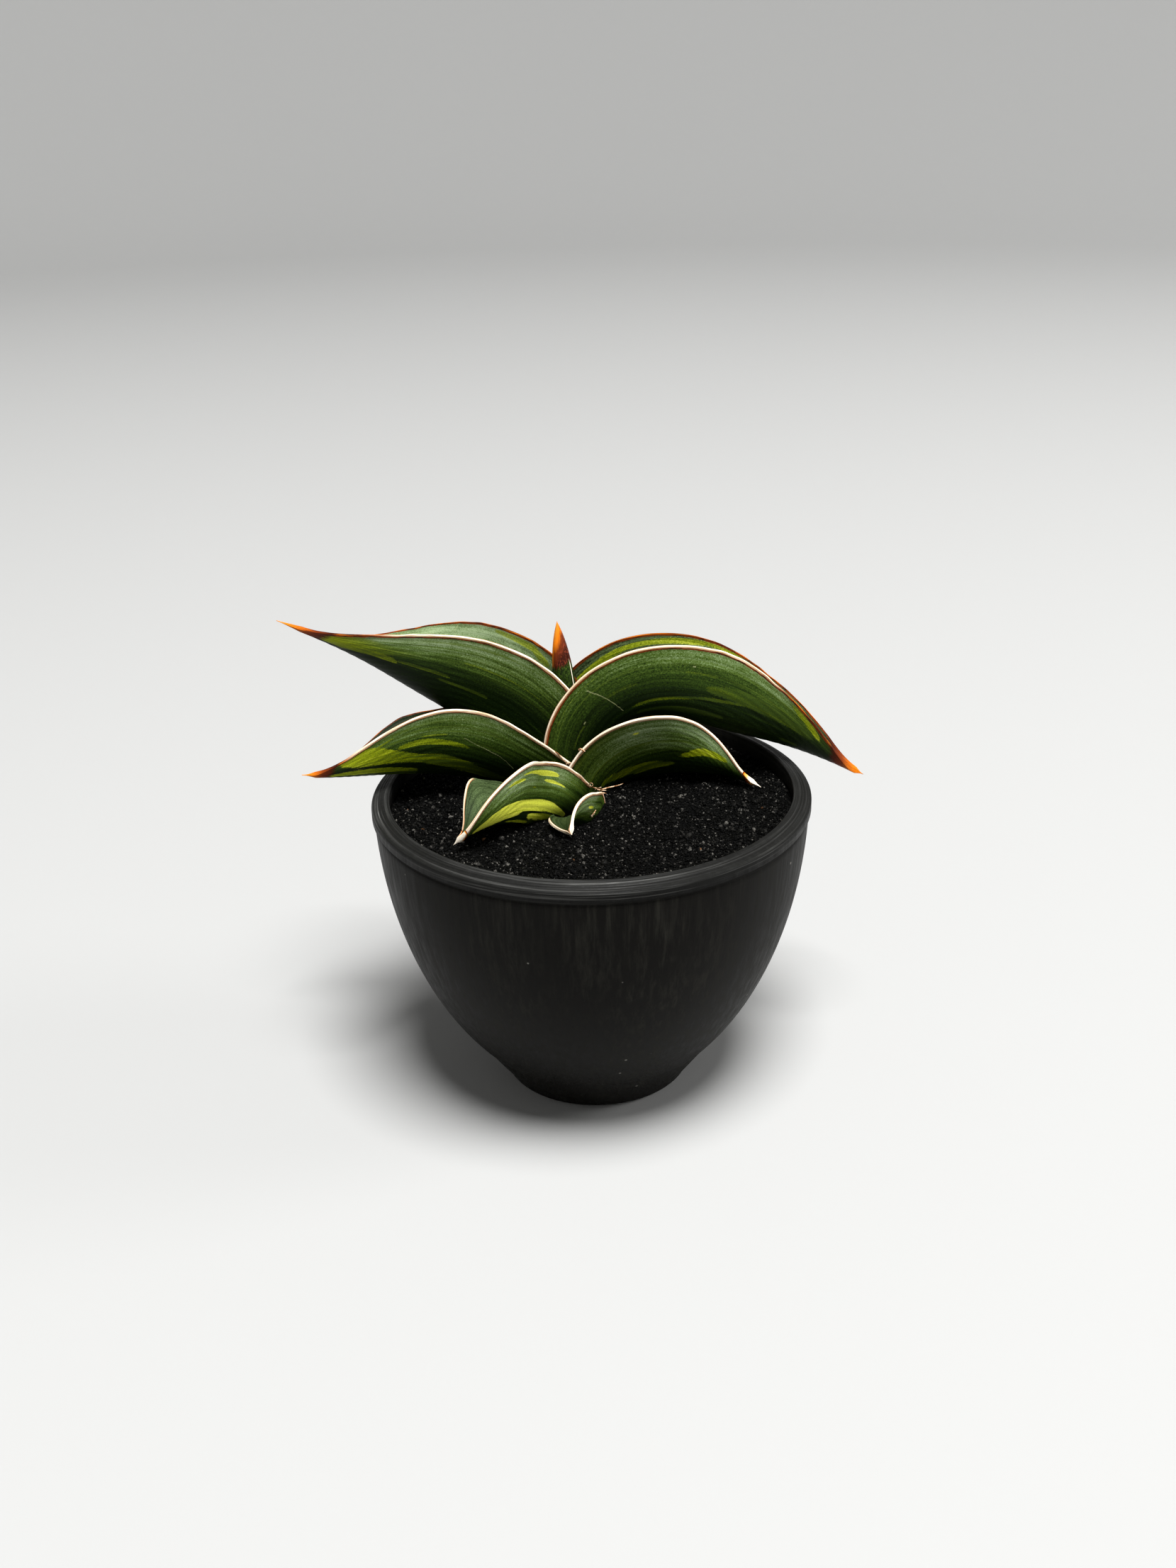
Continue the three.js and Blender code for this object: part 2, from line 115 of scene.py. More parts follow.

# Lists run from foot to tip. margin is the breadth of both pale margins, or of the left and the right, as a share of
# the full one. needle is the length of the brown spine, frost_and_light the paleness of the channel, partly its real
# frost and partly painted light and shade for a channel that lies lit or in shadow, and bloom the shares of
# the half width between which the outer face turns grey, partly real bloom and partly painted light on the upper zones
# and painted shade towards the keel. A band of lime has its half, its hue from dark olive at 0 to yellow at 1, or its
# hues at foot and tip, and its outline in percent: the place on the length, then where the band starts and ends on the
# half width. bands lie on the keel's side and inner ones in the channel.
LEAVES = {
    "left_upper": dict(
        foot=(-8.6, 15.5, 69), length=89.6, half_width=27, foot_share=0.41, widest=0.32, taper=2.2,
        heading=(176.6, 164.1, 179.6), pitch=(92.9, 46.1, 27.3, 27.3, 21.5), roll=(3.1, 3.9, 46.5),
        fold=(83.2, 84, 35), keel_radius=(1.4, 3.6, 4.7), needle=13.5, frost_and_light=1.15, bloom=(0.46, 0.93),
        margin=0.55, edging=1, warm=((0.6, 0.76), (-0.2, 0)),
        bands=[
            (LEFT, (0, 0.62), ((56, 66, 70), (66, 60, 72), (70, 55, 76), (75, 42, 88), (80, 36, 93), (84, 34, 96),
                (88, 42, 88))),
            (LEFT, 0.3, ((62, 46, 50), (79, 45, 58), (85, 50, 55))),
            (LEFT, 0.3, ((64, 63, 68), (79, 64, 76), (85, 68, 72))),
            (LEFT, 0.28, ((20, 70.3, 71.3), (46, 70.3, 71.7))),
            (LEFT, 0.2, ((22, 79.6, 80.4), (40, 79.6, 80.4))),
            (LEFT, 0.15, ((46, 49, 51), (64, 49, 52))),
            (LEFT, 0.15, ((34, 43, 45), (51, 43, 45))),
            (RIGHT, 0.5, ((14, 40, 43), (40, 34, 44), (66, 42, 50), (86, 52, 56))),
            (RIGHT, 0.35, ((20, 66, 68), (55, 70, 72))),
            (RIGHT, 0.3, ((30, 16, 20), (60, 14, 20))),
        ],
        inner=[
            (RIGHT, 0.45, ((25, 86, 88), (29, 87, 92), (32, 92, 96), (44, 94, 96))),
            (LEFT, 0.3, ((20, 60, 64), (60, 62, 66))),
        ],
    ),
    "right_upper": dict(
        foot=(4.9, 15.3, 69), length=89, half_width=22.2, foot_share=0.74, widest=0.44, taper=1.43,
        heading=(-13.3, 2.2, -7.4), pitch=(93.4, 88, -9, -17.4, -28.3), roll=(18.3, -8.2, -2.6),
        fold=(81.7, 89, 59.7), keel_radius=(3.8, 4, 2.2), needle=10.5, frost_and_light=0.7, bloom=(0.36, 1.16),
        margin=0.55, edging=1, warm=((-0.2, 0), (0.6, 0.72)),
        bands=[
            (RIGHT, (0.3, 0.7), ((71, 92, 94), (76, 84, 93), (80, 79, 89), (84, 76, 82))),
            (RIGHT, 0.1, ((46, 52, 56), (60, 52, 66), (72, 56, 74), (82, 64, 74))),
            (RIGHT, 0.45, ((68.5, 72.5, 74.5), (73, 71, 73.5), (78, 69, 71))),
            (RIGHT, 0.3, ((49, 57.8, 59.2), (55, 57.8, 59.2))),
            (RIGHT, 0.22, ((30, 35.2, 36.8), (40, 38.8, 41.2), (50, 42.7, 45.3), (62, 52, 54))),
            (RIGHT, 0.05, ((30, 25, 27), (42, 24, 28.5), (55, 25, 27))),
            (RIGHT, 0.05, ((71, 23, 27), (79, 23, 27))),
            (RIGHT, 0.5, ((17, 89.5, 90.5), (30, 89.5, 90.5))),
            (RIGHT, 0.25, ((15.7, 61, 63), (23.5, 57, 59))),
            (RIGHT, 0.2, ((25.7, 60.5, 62.5), (34, 60.5, 62.5))),
            (RIGHT, 0.2, ((40, 69.2, 70.8), (50, 69.2, 70.8))),
            (LEFT, 0.55, ((14, 30, 34), (36, 28, 38), (60, 34, 46), (82, 50, 56))),
            (LEFT, 0.4, ((20, 58, 60), (56, 64, 66))),
            (LEFT, 0.5, ((40, 82, 84), (70, 80, 84))),
        ],
        inner=[
            (LEFT, 0.5, ((22, 83, 86), (29, 83, 89), (32, 86.5, 91), (40, 90, 94.5), (46, 93.5, 96),
                (58, 96, 97.5))),
            (RIGHT, 0.4, ((20, 70, 74), (60, 72, 78))),
        ],
    ),
    "left_middle": dict(
        foot=(-10.1, 16.5, 69), length=69.7, half_width=22.1, foot_share=0.58, widest=0.42, taper=1.84,
        heading=(195.7, 198.8, 193.3), pitch=(93.1, 23, 14.6, 4.8, 7.2), roll=(-21.6, 12.4, 40.3),
        fold=(85.9, 71.8, 41.5), keel_radius=(5.5, 5.3, 1.2), needle=7.6, bloom=(0.34, 1.1),
        margin=0.65, edging=0.3, warm=((0.78, 0.88), (0.2, 0.5)),
        spread=((1, 1), (1, 1, 0.93, 0.88, 0.86, 0.96, 1, 1, 1)),
        bands=[
            (LEFT, (0.05, 0.62), ((17, 12, 16), (26, 16, 24), (33, 20, 29), (40, 23.5, 33), (50, 26.4, 40),
                (60, 32.5, 41.5), (68, 37, 55), (75, 41, 78), (78.6, 44.5, 91.5), (82, 52, 95), (83.6, 64, 96),
                (88, 80, 97))),
            (LEFT, 0.38, ((42, 54, 55), (49, 55, 59), (60, 60, 65), (68, 58, 62))),
            (LEFT, 0.3, ((50, 68.2, 69.8), (61, 68.2, 69.8))),
            (LEFT, 0.4, ((67, 83.5, 85), (72, 78, 81), (78, 72, 75))),
            (LEFT, (0.4, 0.65), ((58, 15, 18), (60, 14, 19), (70, 14, 25), (79, 14.2, 29.4), (88.5, 14.2, 29.4),
                (96, 18, 26))),
            (LEFT, 0.1, ((58, -10, 13), (90, -10, 13))),
            (RIGHT, (0.4, 0.9), ((20, 24, 30), (50, 22, 36), (80, 30, 50), (92, 40, 48))),
            (RIGHT, 0.5, ((34, 60, 64), (70, 62, 70))),
            (RIGHT, 0.1, ((58, -10, 10), (90, -10, 10))),
        ],
        inner=[(RIGHT, 0.4, ((30, 70, 74), (80, 70, 78)))],
    ),
    "right_middle": dict(
        foot=(4.1, 15.5, 69), length=45.8, half_width=21.9, foot_share=0.75, widest=0.37, taper=1.92,
        heading=(-9, -10.9, -33), pitch=(94.8, 39.6, 7.1, -0.6, -21.9), roll=(18.9, -36.3, -44.8),
        fold=(89, 29.9, 89), keel_radius=(6, 4.6, 5.7), needle=4.6, dryness=2.4, frost_and_light=0.5, bloom=(0.14, 0.8),
        margin=0.75, edging=0.1,
        bands=[
            (RIGHT, 0.33, ((10, 41, 43), (13, 39, 43), (21.4, 27, 35), (32, 15.8, 28), (43, 17.6, 23.6),
                (52, 20, 21.8))),
            (RIGHT, 0.6, ((52, 31, 34), (58, 32, 40), (63, 37, 50), (67, 43, 56), (71.4, 47, 62),
                (75.7, 54.5, 66.7), (81.5, 64, 74))),
            (RIGHT, 0.3, ((49, 33, 34.5), (60, 30, 32))),
            (RIGHT, 0.8, ((32, 78.5, 79), (35, 77.5, 81), (38.5, 79, 80))),
            (LEFT, (0.5, 0.9), ((10, 30, 36), (40, 26, 40), (70, 34, 52), (86, 50, 56))),
            (LEFT, 0.5, ((30, 64, 68), (60, 66, 72))),
        ],
        inner=[(LEFT, 0.6, ((20, 78, 84), (60, 76, 86), (80, 80, 86)))],
    ),
    "left_lower": dict(
        foot=(-10.5, 8.9, 68.2), length=46.9, half_width=16.5, foot_share=0.96, widest=0.59, taper=1.8,
        heading=(258.4, 243.1, 198.1), pitch=(4, 22.9, 22.8, 14.2, -40.3), roll=(-1.9, 21.5, 27.2),
        fold=(85.1, 61.1, 59), keel_radius=(8.4, 2.1, 5.4), needle=3.6, dryness=3.5, frost_and_light=0.42, bloom=(0.1, 0.92),
        margin=(0.85, 0.62), bare=(NEVER, (0.66, 0.6)),
        spread=((0.915, 0.98, 0.945, 0.98, 1), (0.82, 0.8, 0.88, 1, 1)),
        bands=[
            (LEFT, (0.9, 1), ((12, 31, 33), (15, 28, 35), (20, 27, 35.5), (27, 25, 37), (33, 24.5, 39.5),
                (43, 23.5, 41.5), (53, 22.8, 41), (60, 22.5, 40.5), (63, 17, 41), (68, 16, 42), (72, 15, 45),
                (76, 13, 46), (80, 10, 47), (84, 7, 46), (91, 10, 45))),
            (LEFT, (0.6, 0.9), ((10, 26, 28), (14, 23.5, 26), (20, 18, 23.5), (30, 14, 21.5), (38.5, 10, 20.5),
                (43, 8, 19.5), (50, 10, 19), (56, 13, 16))),
            (LEFT, 0.6, ((46, 2, 5), (62, 6, 8.5), (72, 8, 10))),
            (LEFT, (0.9, 0.75), ((30, 81, 82.5), (34, 80, 85), (38.5, 79, 87), (45, 79, 88.5), (52, 80.5, 88.5),
                (60, 83, 87), (68, 84, 86))),
            (LEFT, 0.75, ((62, 74.5, 76), (66, 75, 80), (70, 77, 83), (75, 81, 84))),
            (LEFT, 0.8, ((23, 67.5, 68.5), (30, 68.5, 71), (38, 69, 73.5), (43.5, 70.5, 74), (47, 72.5, 73.5))),
            (LEFT, 0.35, ((33, 60, 62), (40, 60, 62))),
            (LEFT, 0.5, ((50, 60, 61.5), (58, 60, 62.5))),
            (RIGHT, (0.6, 1), ((20, 20, 26), (50, 18, 36), (84, 20, 46), (90, 30, 40))),
            (RIGHT, 0.2, ((28, -10, 10), (52, -10, 10))),
        ],
    ),
    "front_lowest": dict(
        foot=(-0.7, -0.9, 68.6), length=24.3, half_width=10.4, foot_share=0.64, widest=0.16, taper=1.35,
        heading=(234, 253.6, 289.5), pitch=(44.9, 35.8, 32.2, 10.2, -11.4), roll=(46.1, 22.5, 44.2),
        fold=(67.1, 57.3, 55.1), keel_radius=(6, 4.7, 1.3), frost_and_light=0.28, bloom=(0, 0.85),
        margin=(0.65, 0.28), bare=(NEVER, (0.68, 0.63)), spread=((1, 0.92, 1, 1, 1), (1, 0.78, 0.62, 0.96, 1)),
        bands=[
            (LEFT, (0.4, 1), ((30, 59, 61), (38.6, 57.5, 63), (44, 57.5, 63), (49, 59, 61.5))),
            (LEFT, 0.35, ((38, 75, 77), (45, 75, 77))),
            (RIGHT, 0.6, ((20, 30, 36), (60, 36, 42))),
        ],
    ),
}
LEAVES = {name: PLAIN_LEAF | leaf | {"plot": PLOT * number} for number, (name, leaf) in enumerate(LEAVES.items())}

# Small pale marks: the leaf, whether in its channel, both ends as shares of the length and of the half width (negative
# on the right), and the half breadth
MARKS = [
    ("right_upper", False, (0.262, -0.84), (0.278, -0.60), 0.11),
    ("right_upper", False, (0.278, -0.60), (0.289, -0.37), 0.09),
    ("right_upper", False, (0.2236, -0.60), (0.2256, -0.60), 0.26),
    ("right_upper", False, (0.426, -0.77), (0.429, -0.77), 0.22),
    ("left_upper", False, (0.716, 0.82), (0.719, 0.82), 0.26),
    ("left_upper", True, (0.535, -0.99), (0.537, -0.88), 0.13),
    ("left_upper", True, (0.405, -0.87), (0.408, -0.87), 0.24),
    ("left_middle", False, (0.258, 0.456), (0.29, 0.519), 0.12),
    ("left_middle", False, (0.29, 0.519), (0.323, 0.556), 0.14),
    ("left_middle", False, (0.323, 0.556), (0.383, 0.588), 0.14),
    ("left_middle", False, (0.383, 0.588), (0.415, 0.60), 0.12),
    ("left_middle", False, (0.415, 0.60), (0.46, 0.656), 0.10),
]

# Dried fibre between the leaves: the breadth, and points from end to end
SHREDS = [
    (0.85, ((-0.8, -0.6, 77.9), (0.9, 0.6, 77.7), (2.2, 1.6, 77.3), (3.8, 3.4, 76.4))),
    (0.5, ((1.6, 2.6, 77.8), (3.0, 3.0, 77.8), (4.2, 4.0, 77.6), (5.4, 5.0, 77.5), (6.9, 6.5, 77.2), (8.4, 8.0, 77.0))),
    (0.55, ((-1.3, 6.0, 78.4), (-0.1, 5.8, 77.5), (0.9, 5.4, 77.0), (1.7, 5.0, 77.0), (2.6, 4.6, 77.6))),
    (0.35, ((-0.6, 5.7, 77.6), (-0.3, 5.6, 78.1), (0.2, 5.4, 78.4), (0.5, 5.2, 78.0), (0.3, 5.2, 77.6))),
    (0.4, ((0.9, 4.2, 76.9), (1.6, 3.8, 77.3), (2.4, 3.0, 77.2), (3.2, 3.0, 77.5), (3.9, 3.2, 77.3))),
    (0.6, ((1.0, -5.9, 76.1), (0.6, -6.2, 75.4), (0.2, -6.3, 74.9), (-0.1, -6.4, 74.3))),
    (0.95, ((-2.4, 4.0, 88.6), (-1.9, 3.8, 88.2), (-1.3, 3.8, 87.8))),
    (0.5, ((-2.7, 4.2, 87.7), (-2.8, 4.0, 88.3), (-2.4, 3.9, 88.7))),
    (0.75, ((-9.4, 5.2, 87.5), (-8.3, 5.2, 87.0), (-7.5, 5.4, 85.9), (-6.8, 5.7, 84.9), (-6.0, 6.0, 83.9))),
    (0.7, ((-6.1, 6.0, 83.6), (-5.5, 5.9, 84.0), (-4.9, 5.9, 83.8))),
]
SHRED_ROWS = 26
SHRED_COLUMNS = 8
SHRED_FLATNESS = 0.55
SHRED_CURL = 0.1
SHRED_FACING = (0.3, 0.5, 0.8)

# The young rolled leaf
SPEAR_FOOT = (-3.7, 15, 69)
SPEAR_TIP = (-7.5, 15, 118.6)
SPEAR_RADIUS = 3.25
SPEAR_SHARPNESS = 8.2
SPEAR_STEP = 0.12
SPEAR_LAP = 0.992
SPEAR_CROWDING = 1.8
SPEAR_SEAM = math.radians(-35)
SPEAR_GREEN = 32
SPEAR_ROWS = 120
SPEAR_COLUMNS = 72

# Pot
POT_HEIGHT = 80
RIM_RADIUS = 55
RIM_WIDTH = 4.5
RIM_FALL = 1.3
LIP_HEIGHT = 2.6
GROOVE_DEPTH = 0.7
BELLY_RADIUS = 54.5
BELLY_ROUNDNESS = 0.955
BELLY_START = 12
INSIDE_START = BELLY_START + 2
FOOT_RADIUS = 22.3
FOOT_EDGE = ((0, 0), (1.9, 0.9), (2.9, 2.6))
WALL = 3.2
FLOOR = 3.6
RIM_BEVEL = 0.5
RIM_WAVE = 0.07
RIM_WAVES = 4.5
POT_COLUMNS = 240
DRAIN_RADIUS = 3
DRAIN_CIRCLE = 13
DRAIN_COUNT = 4
DRAIN_COLUMNS = 32

# Soil
SOIL_LEVEL = 75.5
SOIL_WAVE = 0.45
SOIL_REACH = 50.2
SOIL_COLUMNS = 300
SOIL_RINGS = 90
GRIT_DEPTH = 0.4
STONE_CROWDING = 1.6
STONE_LIFT = 0.25
STONE_PUSH = (0.62, 1.25)
STONE_SKEW = 0.16
STONE_STRETCH = (0.7, 1.25)
STONE_CLEARANCE = 0.5
# Hollows in front of the clump and under the small front leaf: centre, reach and depth
SOIL_HOLLOWS = [((-4, -5), 11, 2.2), ((-6.5, 0.5), 5, 4)]


def ease(x, low, high):
    """Smooth step: 0 below low, 1 above high, 3t² - 2t³ between."""
    t = np.clip((x - low) / (high - low), 0, 1)
    return t * t * (3 - 2 * t)


def blend(a, b, share):
    return a + (b - a) * share


def unit(vectors):
    return vectors / np.linalg.norm(vectors, axis=-1, keepdims=True)


def curve(values, s, knots=None):
    """Cubic Hermite curve through values at knots from 0 to 1, with centred slopes, one-sided at the ends."""
    values = np.array(values, float)
    knots = np.linspace(0, 1, len(values)) if knots is None else np.array(knots, float)
    before = np.maximum(np.arange(len(values)) - 1, 0)
    after = np.minimum(np.arange(len(values)) + 1, len(values) - 1)
    slope = (values[after] - values[before]) / (knots[after] - knots[before])
    i = np.clip(np.searchsorted(knots, s, side="right") - 1, 0, len(values) - 2)
    h = knots[i + 1] - knots[i]
    t = (s - knots[i]) / h
    ends = values[i] * (1 + 2 * t) * (1 - t) ** 2 + values[i + 1] * t * t * (3 - 2 * t)
    return ends + h * (slope[i] * t * (1 - t) ** 2 - slope[i + 1] * t * t * (1 - t))


def lattice_noise(x, y, cell, seed):
    """Value noise from -1 to 1: seeded random numbers on a square lattice, eased between its corners."""
    size = 256
    table = np.random.default_rng(seed).uniform(-1, 1, (size, size))
    gx, gy = x / cell, y / cell
    ix, iy = np.floor(gx).astype(int), np.floor(gy).astype(int)
    tx, ty = ease(gx - ix, 0, 1), ease(gy - iy, 0, 1)

    def corner(a, b):
        return table[(ix + a) % size, (iy + b) % size]

    low = blend(corner(0, 0), corner(1, 0), tx)
    high = blend(corner(0, 1), corner(1, 1), tx)
    return blend(low, high, ty)


def grid_faces(rows, columns):
    """Quads between the neighbouring rows of a grid whose columns close into rings."""
    r = np.arange(rows - 1)[:, None] * columns
    c = np.arange(columns)[None, :]
    d = (c + 1) % columns
    return np.stack([r + c, r + d, r + columns + d, r + columns + c], -1).reshape(-1, 4)


def capped_faces(rows, columns, start=0):
    """The quads of a closed grid whose points are numbered from start, and a face over each end."""
    ring = np.arange(start, start + columns)
    return [*(grid_faces(rows, columns) + start).tolist(), ring[::-1].tolist(), (ring + (rows - 1) * columns).tolist()]


def turned(radius, height, columns):
    """A profile turned about the upright axis: (radius * cos a, radius * sin a, height) for each angle a."""
    angle = np.linspace(0, 2 * np.pi, columns, endpoint=False)
    radius, height = np.array(radius, float)[:, None], np.array(height, float)[:, None]
    return np.stack([radius * np.cos(angle), radius * np.sin(angle), height * np.ones_like(angle)], -1)


def link_object(name, data):
    """A new object in the scene's own collection."""
    made = bpy.data.objects.new(name, data)
    bpy.context.scene.collection.objects.link(made)
    return made


def mesh_object(name, points, faces, material, smooth=True):
    """A mesh object at the origin from points in millimetres and a list of faces."""
    mesh = bpy.data.meshes.new(name)
    mesh.from_pydata((np.asarray(points, float) * MM).reshape(-1, 3).tolist(), [], faces)
    mesh.polygons.foreach_set("use_smooth", np.full(len(mesh.polygons), smooth))
    mesh.update()
    mesh.materials.append(material)
    return link_object(name, mesh)


def make_piece(name, points, faces, material, smooth=True):
    """A mesh object that rides on the root."""
    piece = mesh_object(name, points, faces, material, smooth)
    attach(piece, "root")
    return piece


def paint(piece, shape, **values):
    """Stores a number for each point of a grid of this shape under each name, for the material to read."""
    for name, numbers in values.items():
        attribute = piece.data.attributes.new(name, "FLOAT", "POINT")
        attribute.data.foreach_set("value", np.broadcast_to(numbers, shape).astype(np.float32).ravel())


def lay_grain(piece, u, v, around):
    """A UV map in centimetres of the leaf, u round its section and v along it; u goes on past the ring's seam."""
    layer = piece.data.uv_layers.new(name="grain")
    corner = np.empty(len(piece.data.loops), int)
    piece.data.loops.foreach_get("vertex_index", corner)
    uv = np.stack([np.ravel(u)[corner], np.ravel(v)[corner]], -1)
    quads = (len(u) - 1) * u.shape[1]
    ring_u = uv[:4 * quads, 0].reshape(-1, 4)
    ring_u += around * (ring_u.max(1, keepdims=True) - ring_u > around / 2)
    layer.data.foreach_set("uv", uv.ravel().astype(np.float32))


class Shader:
    """A material with a Principled shader, and short calls that add its nodes."""

    def __init__(self, name, source="Object", **sockets):
        self.material = bpy.data.materials.new(name)
        self.material.use_nodes = True
        self.tree = self.material.node_tree
        self.surface = self.tree.nodes["Principled BSDF"]
        self.source = source
        self.fill(self.surface, **sockets)

    def feed(self, socket, value):
        if isinstance(value, bpy.types.NodeSocket):
            self.tree.links.new(value, socket)
        elif socket.type == "RGBA":
            socket.default_value = (*value, 1)
        else:
            socket.default_value = value

    def fill(self, node, **values):
        """Feeds a node's sockets by their names."""
        for name, value in values.items():
            if value is not None:
                self.feed(node.inputs[name.replace("_", " ")], value)
        return node

    def add(self, kind, *inputs, **settings):
        """A new node, its settings, and what its first sockets get."""
        node = self.tree.nodes.new("ShaderNode" + kind)
        for key, value in settings.items():
            setattr(node, key, value)
        for socket, value in zip(node.inputs, inputs):
            if value is not None:
                self.feed(socket, value)
        return node

    def attribute(self, name):
        return self.add("Attribute", attribute_name=name).outputs["Fac"]

    def place(self, scale):
        """The material's own coordinates, stretched."""
        return self.add("Mapping", self.add("TexCoord").outputs[self.source], None, None, scale).outputs[0]

    def noise(self, scale, detail=3, roughness=0.55, distortion=0):
        """Noise from 0 to 1 on coordinates stretched by scale."""
        node = self.add("TexNoise", self.place(scale))
        return self.fill(node, Scale=1, Detail=detail, Roughness=roughness, Distortion=distortion).outputs["Fac"]

    def cells(self, scale):
        return self.fill(self.add("TexVoronoi", self.place((1, 1, 1))), Scale=scale)

    def math(self, operation, a, b, clamp=False):
        return self.add("Math", a, b, operation=operation, use_clamp=clamp).outputs[0]

    def plus(self, total, *others):
        for other in others:
            total = self.math("ADD", total, other)
        return total

    def times(self, product, *others):
        for other in others:
            product = self.math("MULTIPLY", product, other)
        return product

    def vector(self, operation, a, b, output="Vector"):
        return self.add("VectorMath", a, b, operation=operation).outputs[output]

    def swing(self, noise, reach):
        """A noise centred on 0, reach times as strong."""
        return self.times(self.math("SUBTRACT", noise, 0.5), reach)

    def step(self, value, low, high, to_low=0, to_high=1):
        """Smooth step of a number from low to high."""
        return self.add("MapRange", value, low, high, to_low, to_high, interpolation_type="SMOOTHSTEP").outputs[0]

    def mix(self, share, a, b):
        """Colour a at share 0, b at 1."""
        node = self.add("Mix", share, data_type="RGBA")
        for socket, colour in zip([socket for socket in node.inputs if socket.type == "RGBA"], (a, b)):
            self.feed(socket, colour)
        return next(socket for socket in node.outputs if socket.type == "RGBA")

    def stroke(self, place, start, end, breadth):
        """1 on the straight line between two points of the plane, falling to 0 at breadth from it."""
        span = (end[0] - start[0], end[1] - start[1], 0)
        from_start = self.vector("SUBTRACT", place, (*start, 0))
        share = self.vector("DOT_PRODUCT", from_start, span, "Value")
        share = self.math("MULTIPLY", share, 1 / (span[0] ** 2 + span[1] ** 2), clamp=True)
        foot = self.add("CombineXYZ", *(self.times(share, reach) for reach in span[:2])).outputs[0]
        return self.step(self.vector("DISTANCE", from_start, foot, "Value"), breadth, 0.4 * breadth)

    def ramp(self, value, *stops):
        node = self.add("ValToRGB", value)
        elements = node.color_ramp.elements
        while len(elements) < len(stops):
            elements.new(0.5)
        for element, (place, colour) in zip(elements, stops):
            element.position = place
            element.color = (*colour, 1)
        return node.outputs["Color"]

    def bump(self, height, distance, strength, under=None):
        node = self.add("Bump")
        return self.fill(node, Strength=strength, Distance=distance * MM, Height=height, Normal=under).outputs[0]

    def finish(self, colour, roughness, normal):
        self.fill(self.surface, Base_Color=colour, Roughness=roughness, Normal=normal)
        return self.material


DARK_GREEN = (0.0026, 0.0070, 0.0006)
DEEP_GREEN = (0.017, 0.035, 0.003)
MID_GREEN = (0.056, 0.096, 0.013)
# On the leaf these two top the green ramp: real grey bloom and frost, and painted light where bloom is high
GREY_GREEN = (0.150, 0.215, 0.085)
FROST_AND_LIGHT_GREEN = (0.290, 0.370, 0.205)
CHANNEL_GREEN = (0.034, 0.052, 0.018)
PALE_CHANNEL = (0.090, 0.130, 0.052)
OLIVE_TINGE = (0.085, 0.125, 0.010)
OLIVE = (0.080, 0.115, 0.003)
LIME = (0.250, 0.300, 0.002)
YELLOW_LIME = (0.690, 0.720, 0.075)
SCAR = (0.300, 0.320, 0.150)
CREAM = (0.880, 0.790, 0.640)
CREAM_TAN = (0.620, 0.400, 0.230)
CREAM_SHADE = (0.220, 0.090, 0.030)
RED_BROWN = (0.035, 0.006, 0.002)
RUST = (0.160, 0.026, 0.003)
ORANGE = (0.760, 0.190, 0.004)
STRAW = (0.850, 0.430, 0.100)
SPEAR_ORANGE = (0.680, 0.230, 0.018)
SPEAR_BLOTCH = (0.320, 0.055, 0.022)


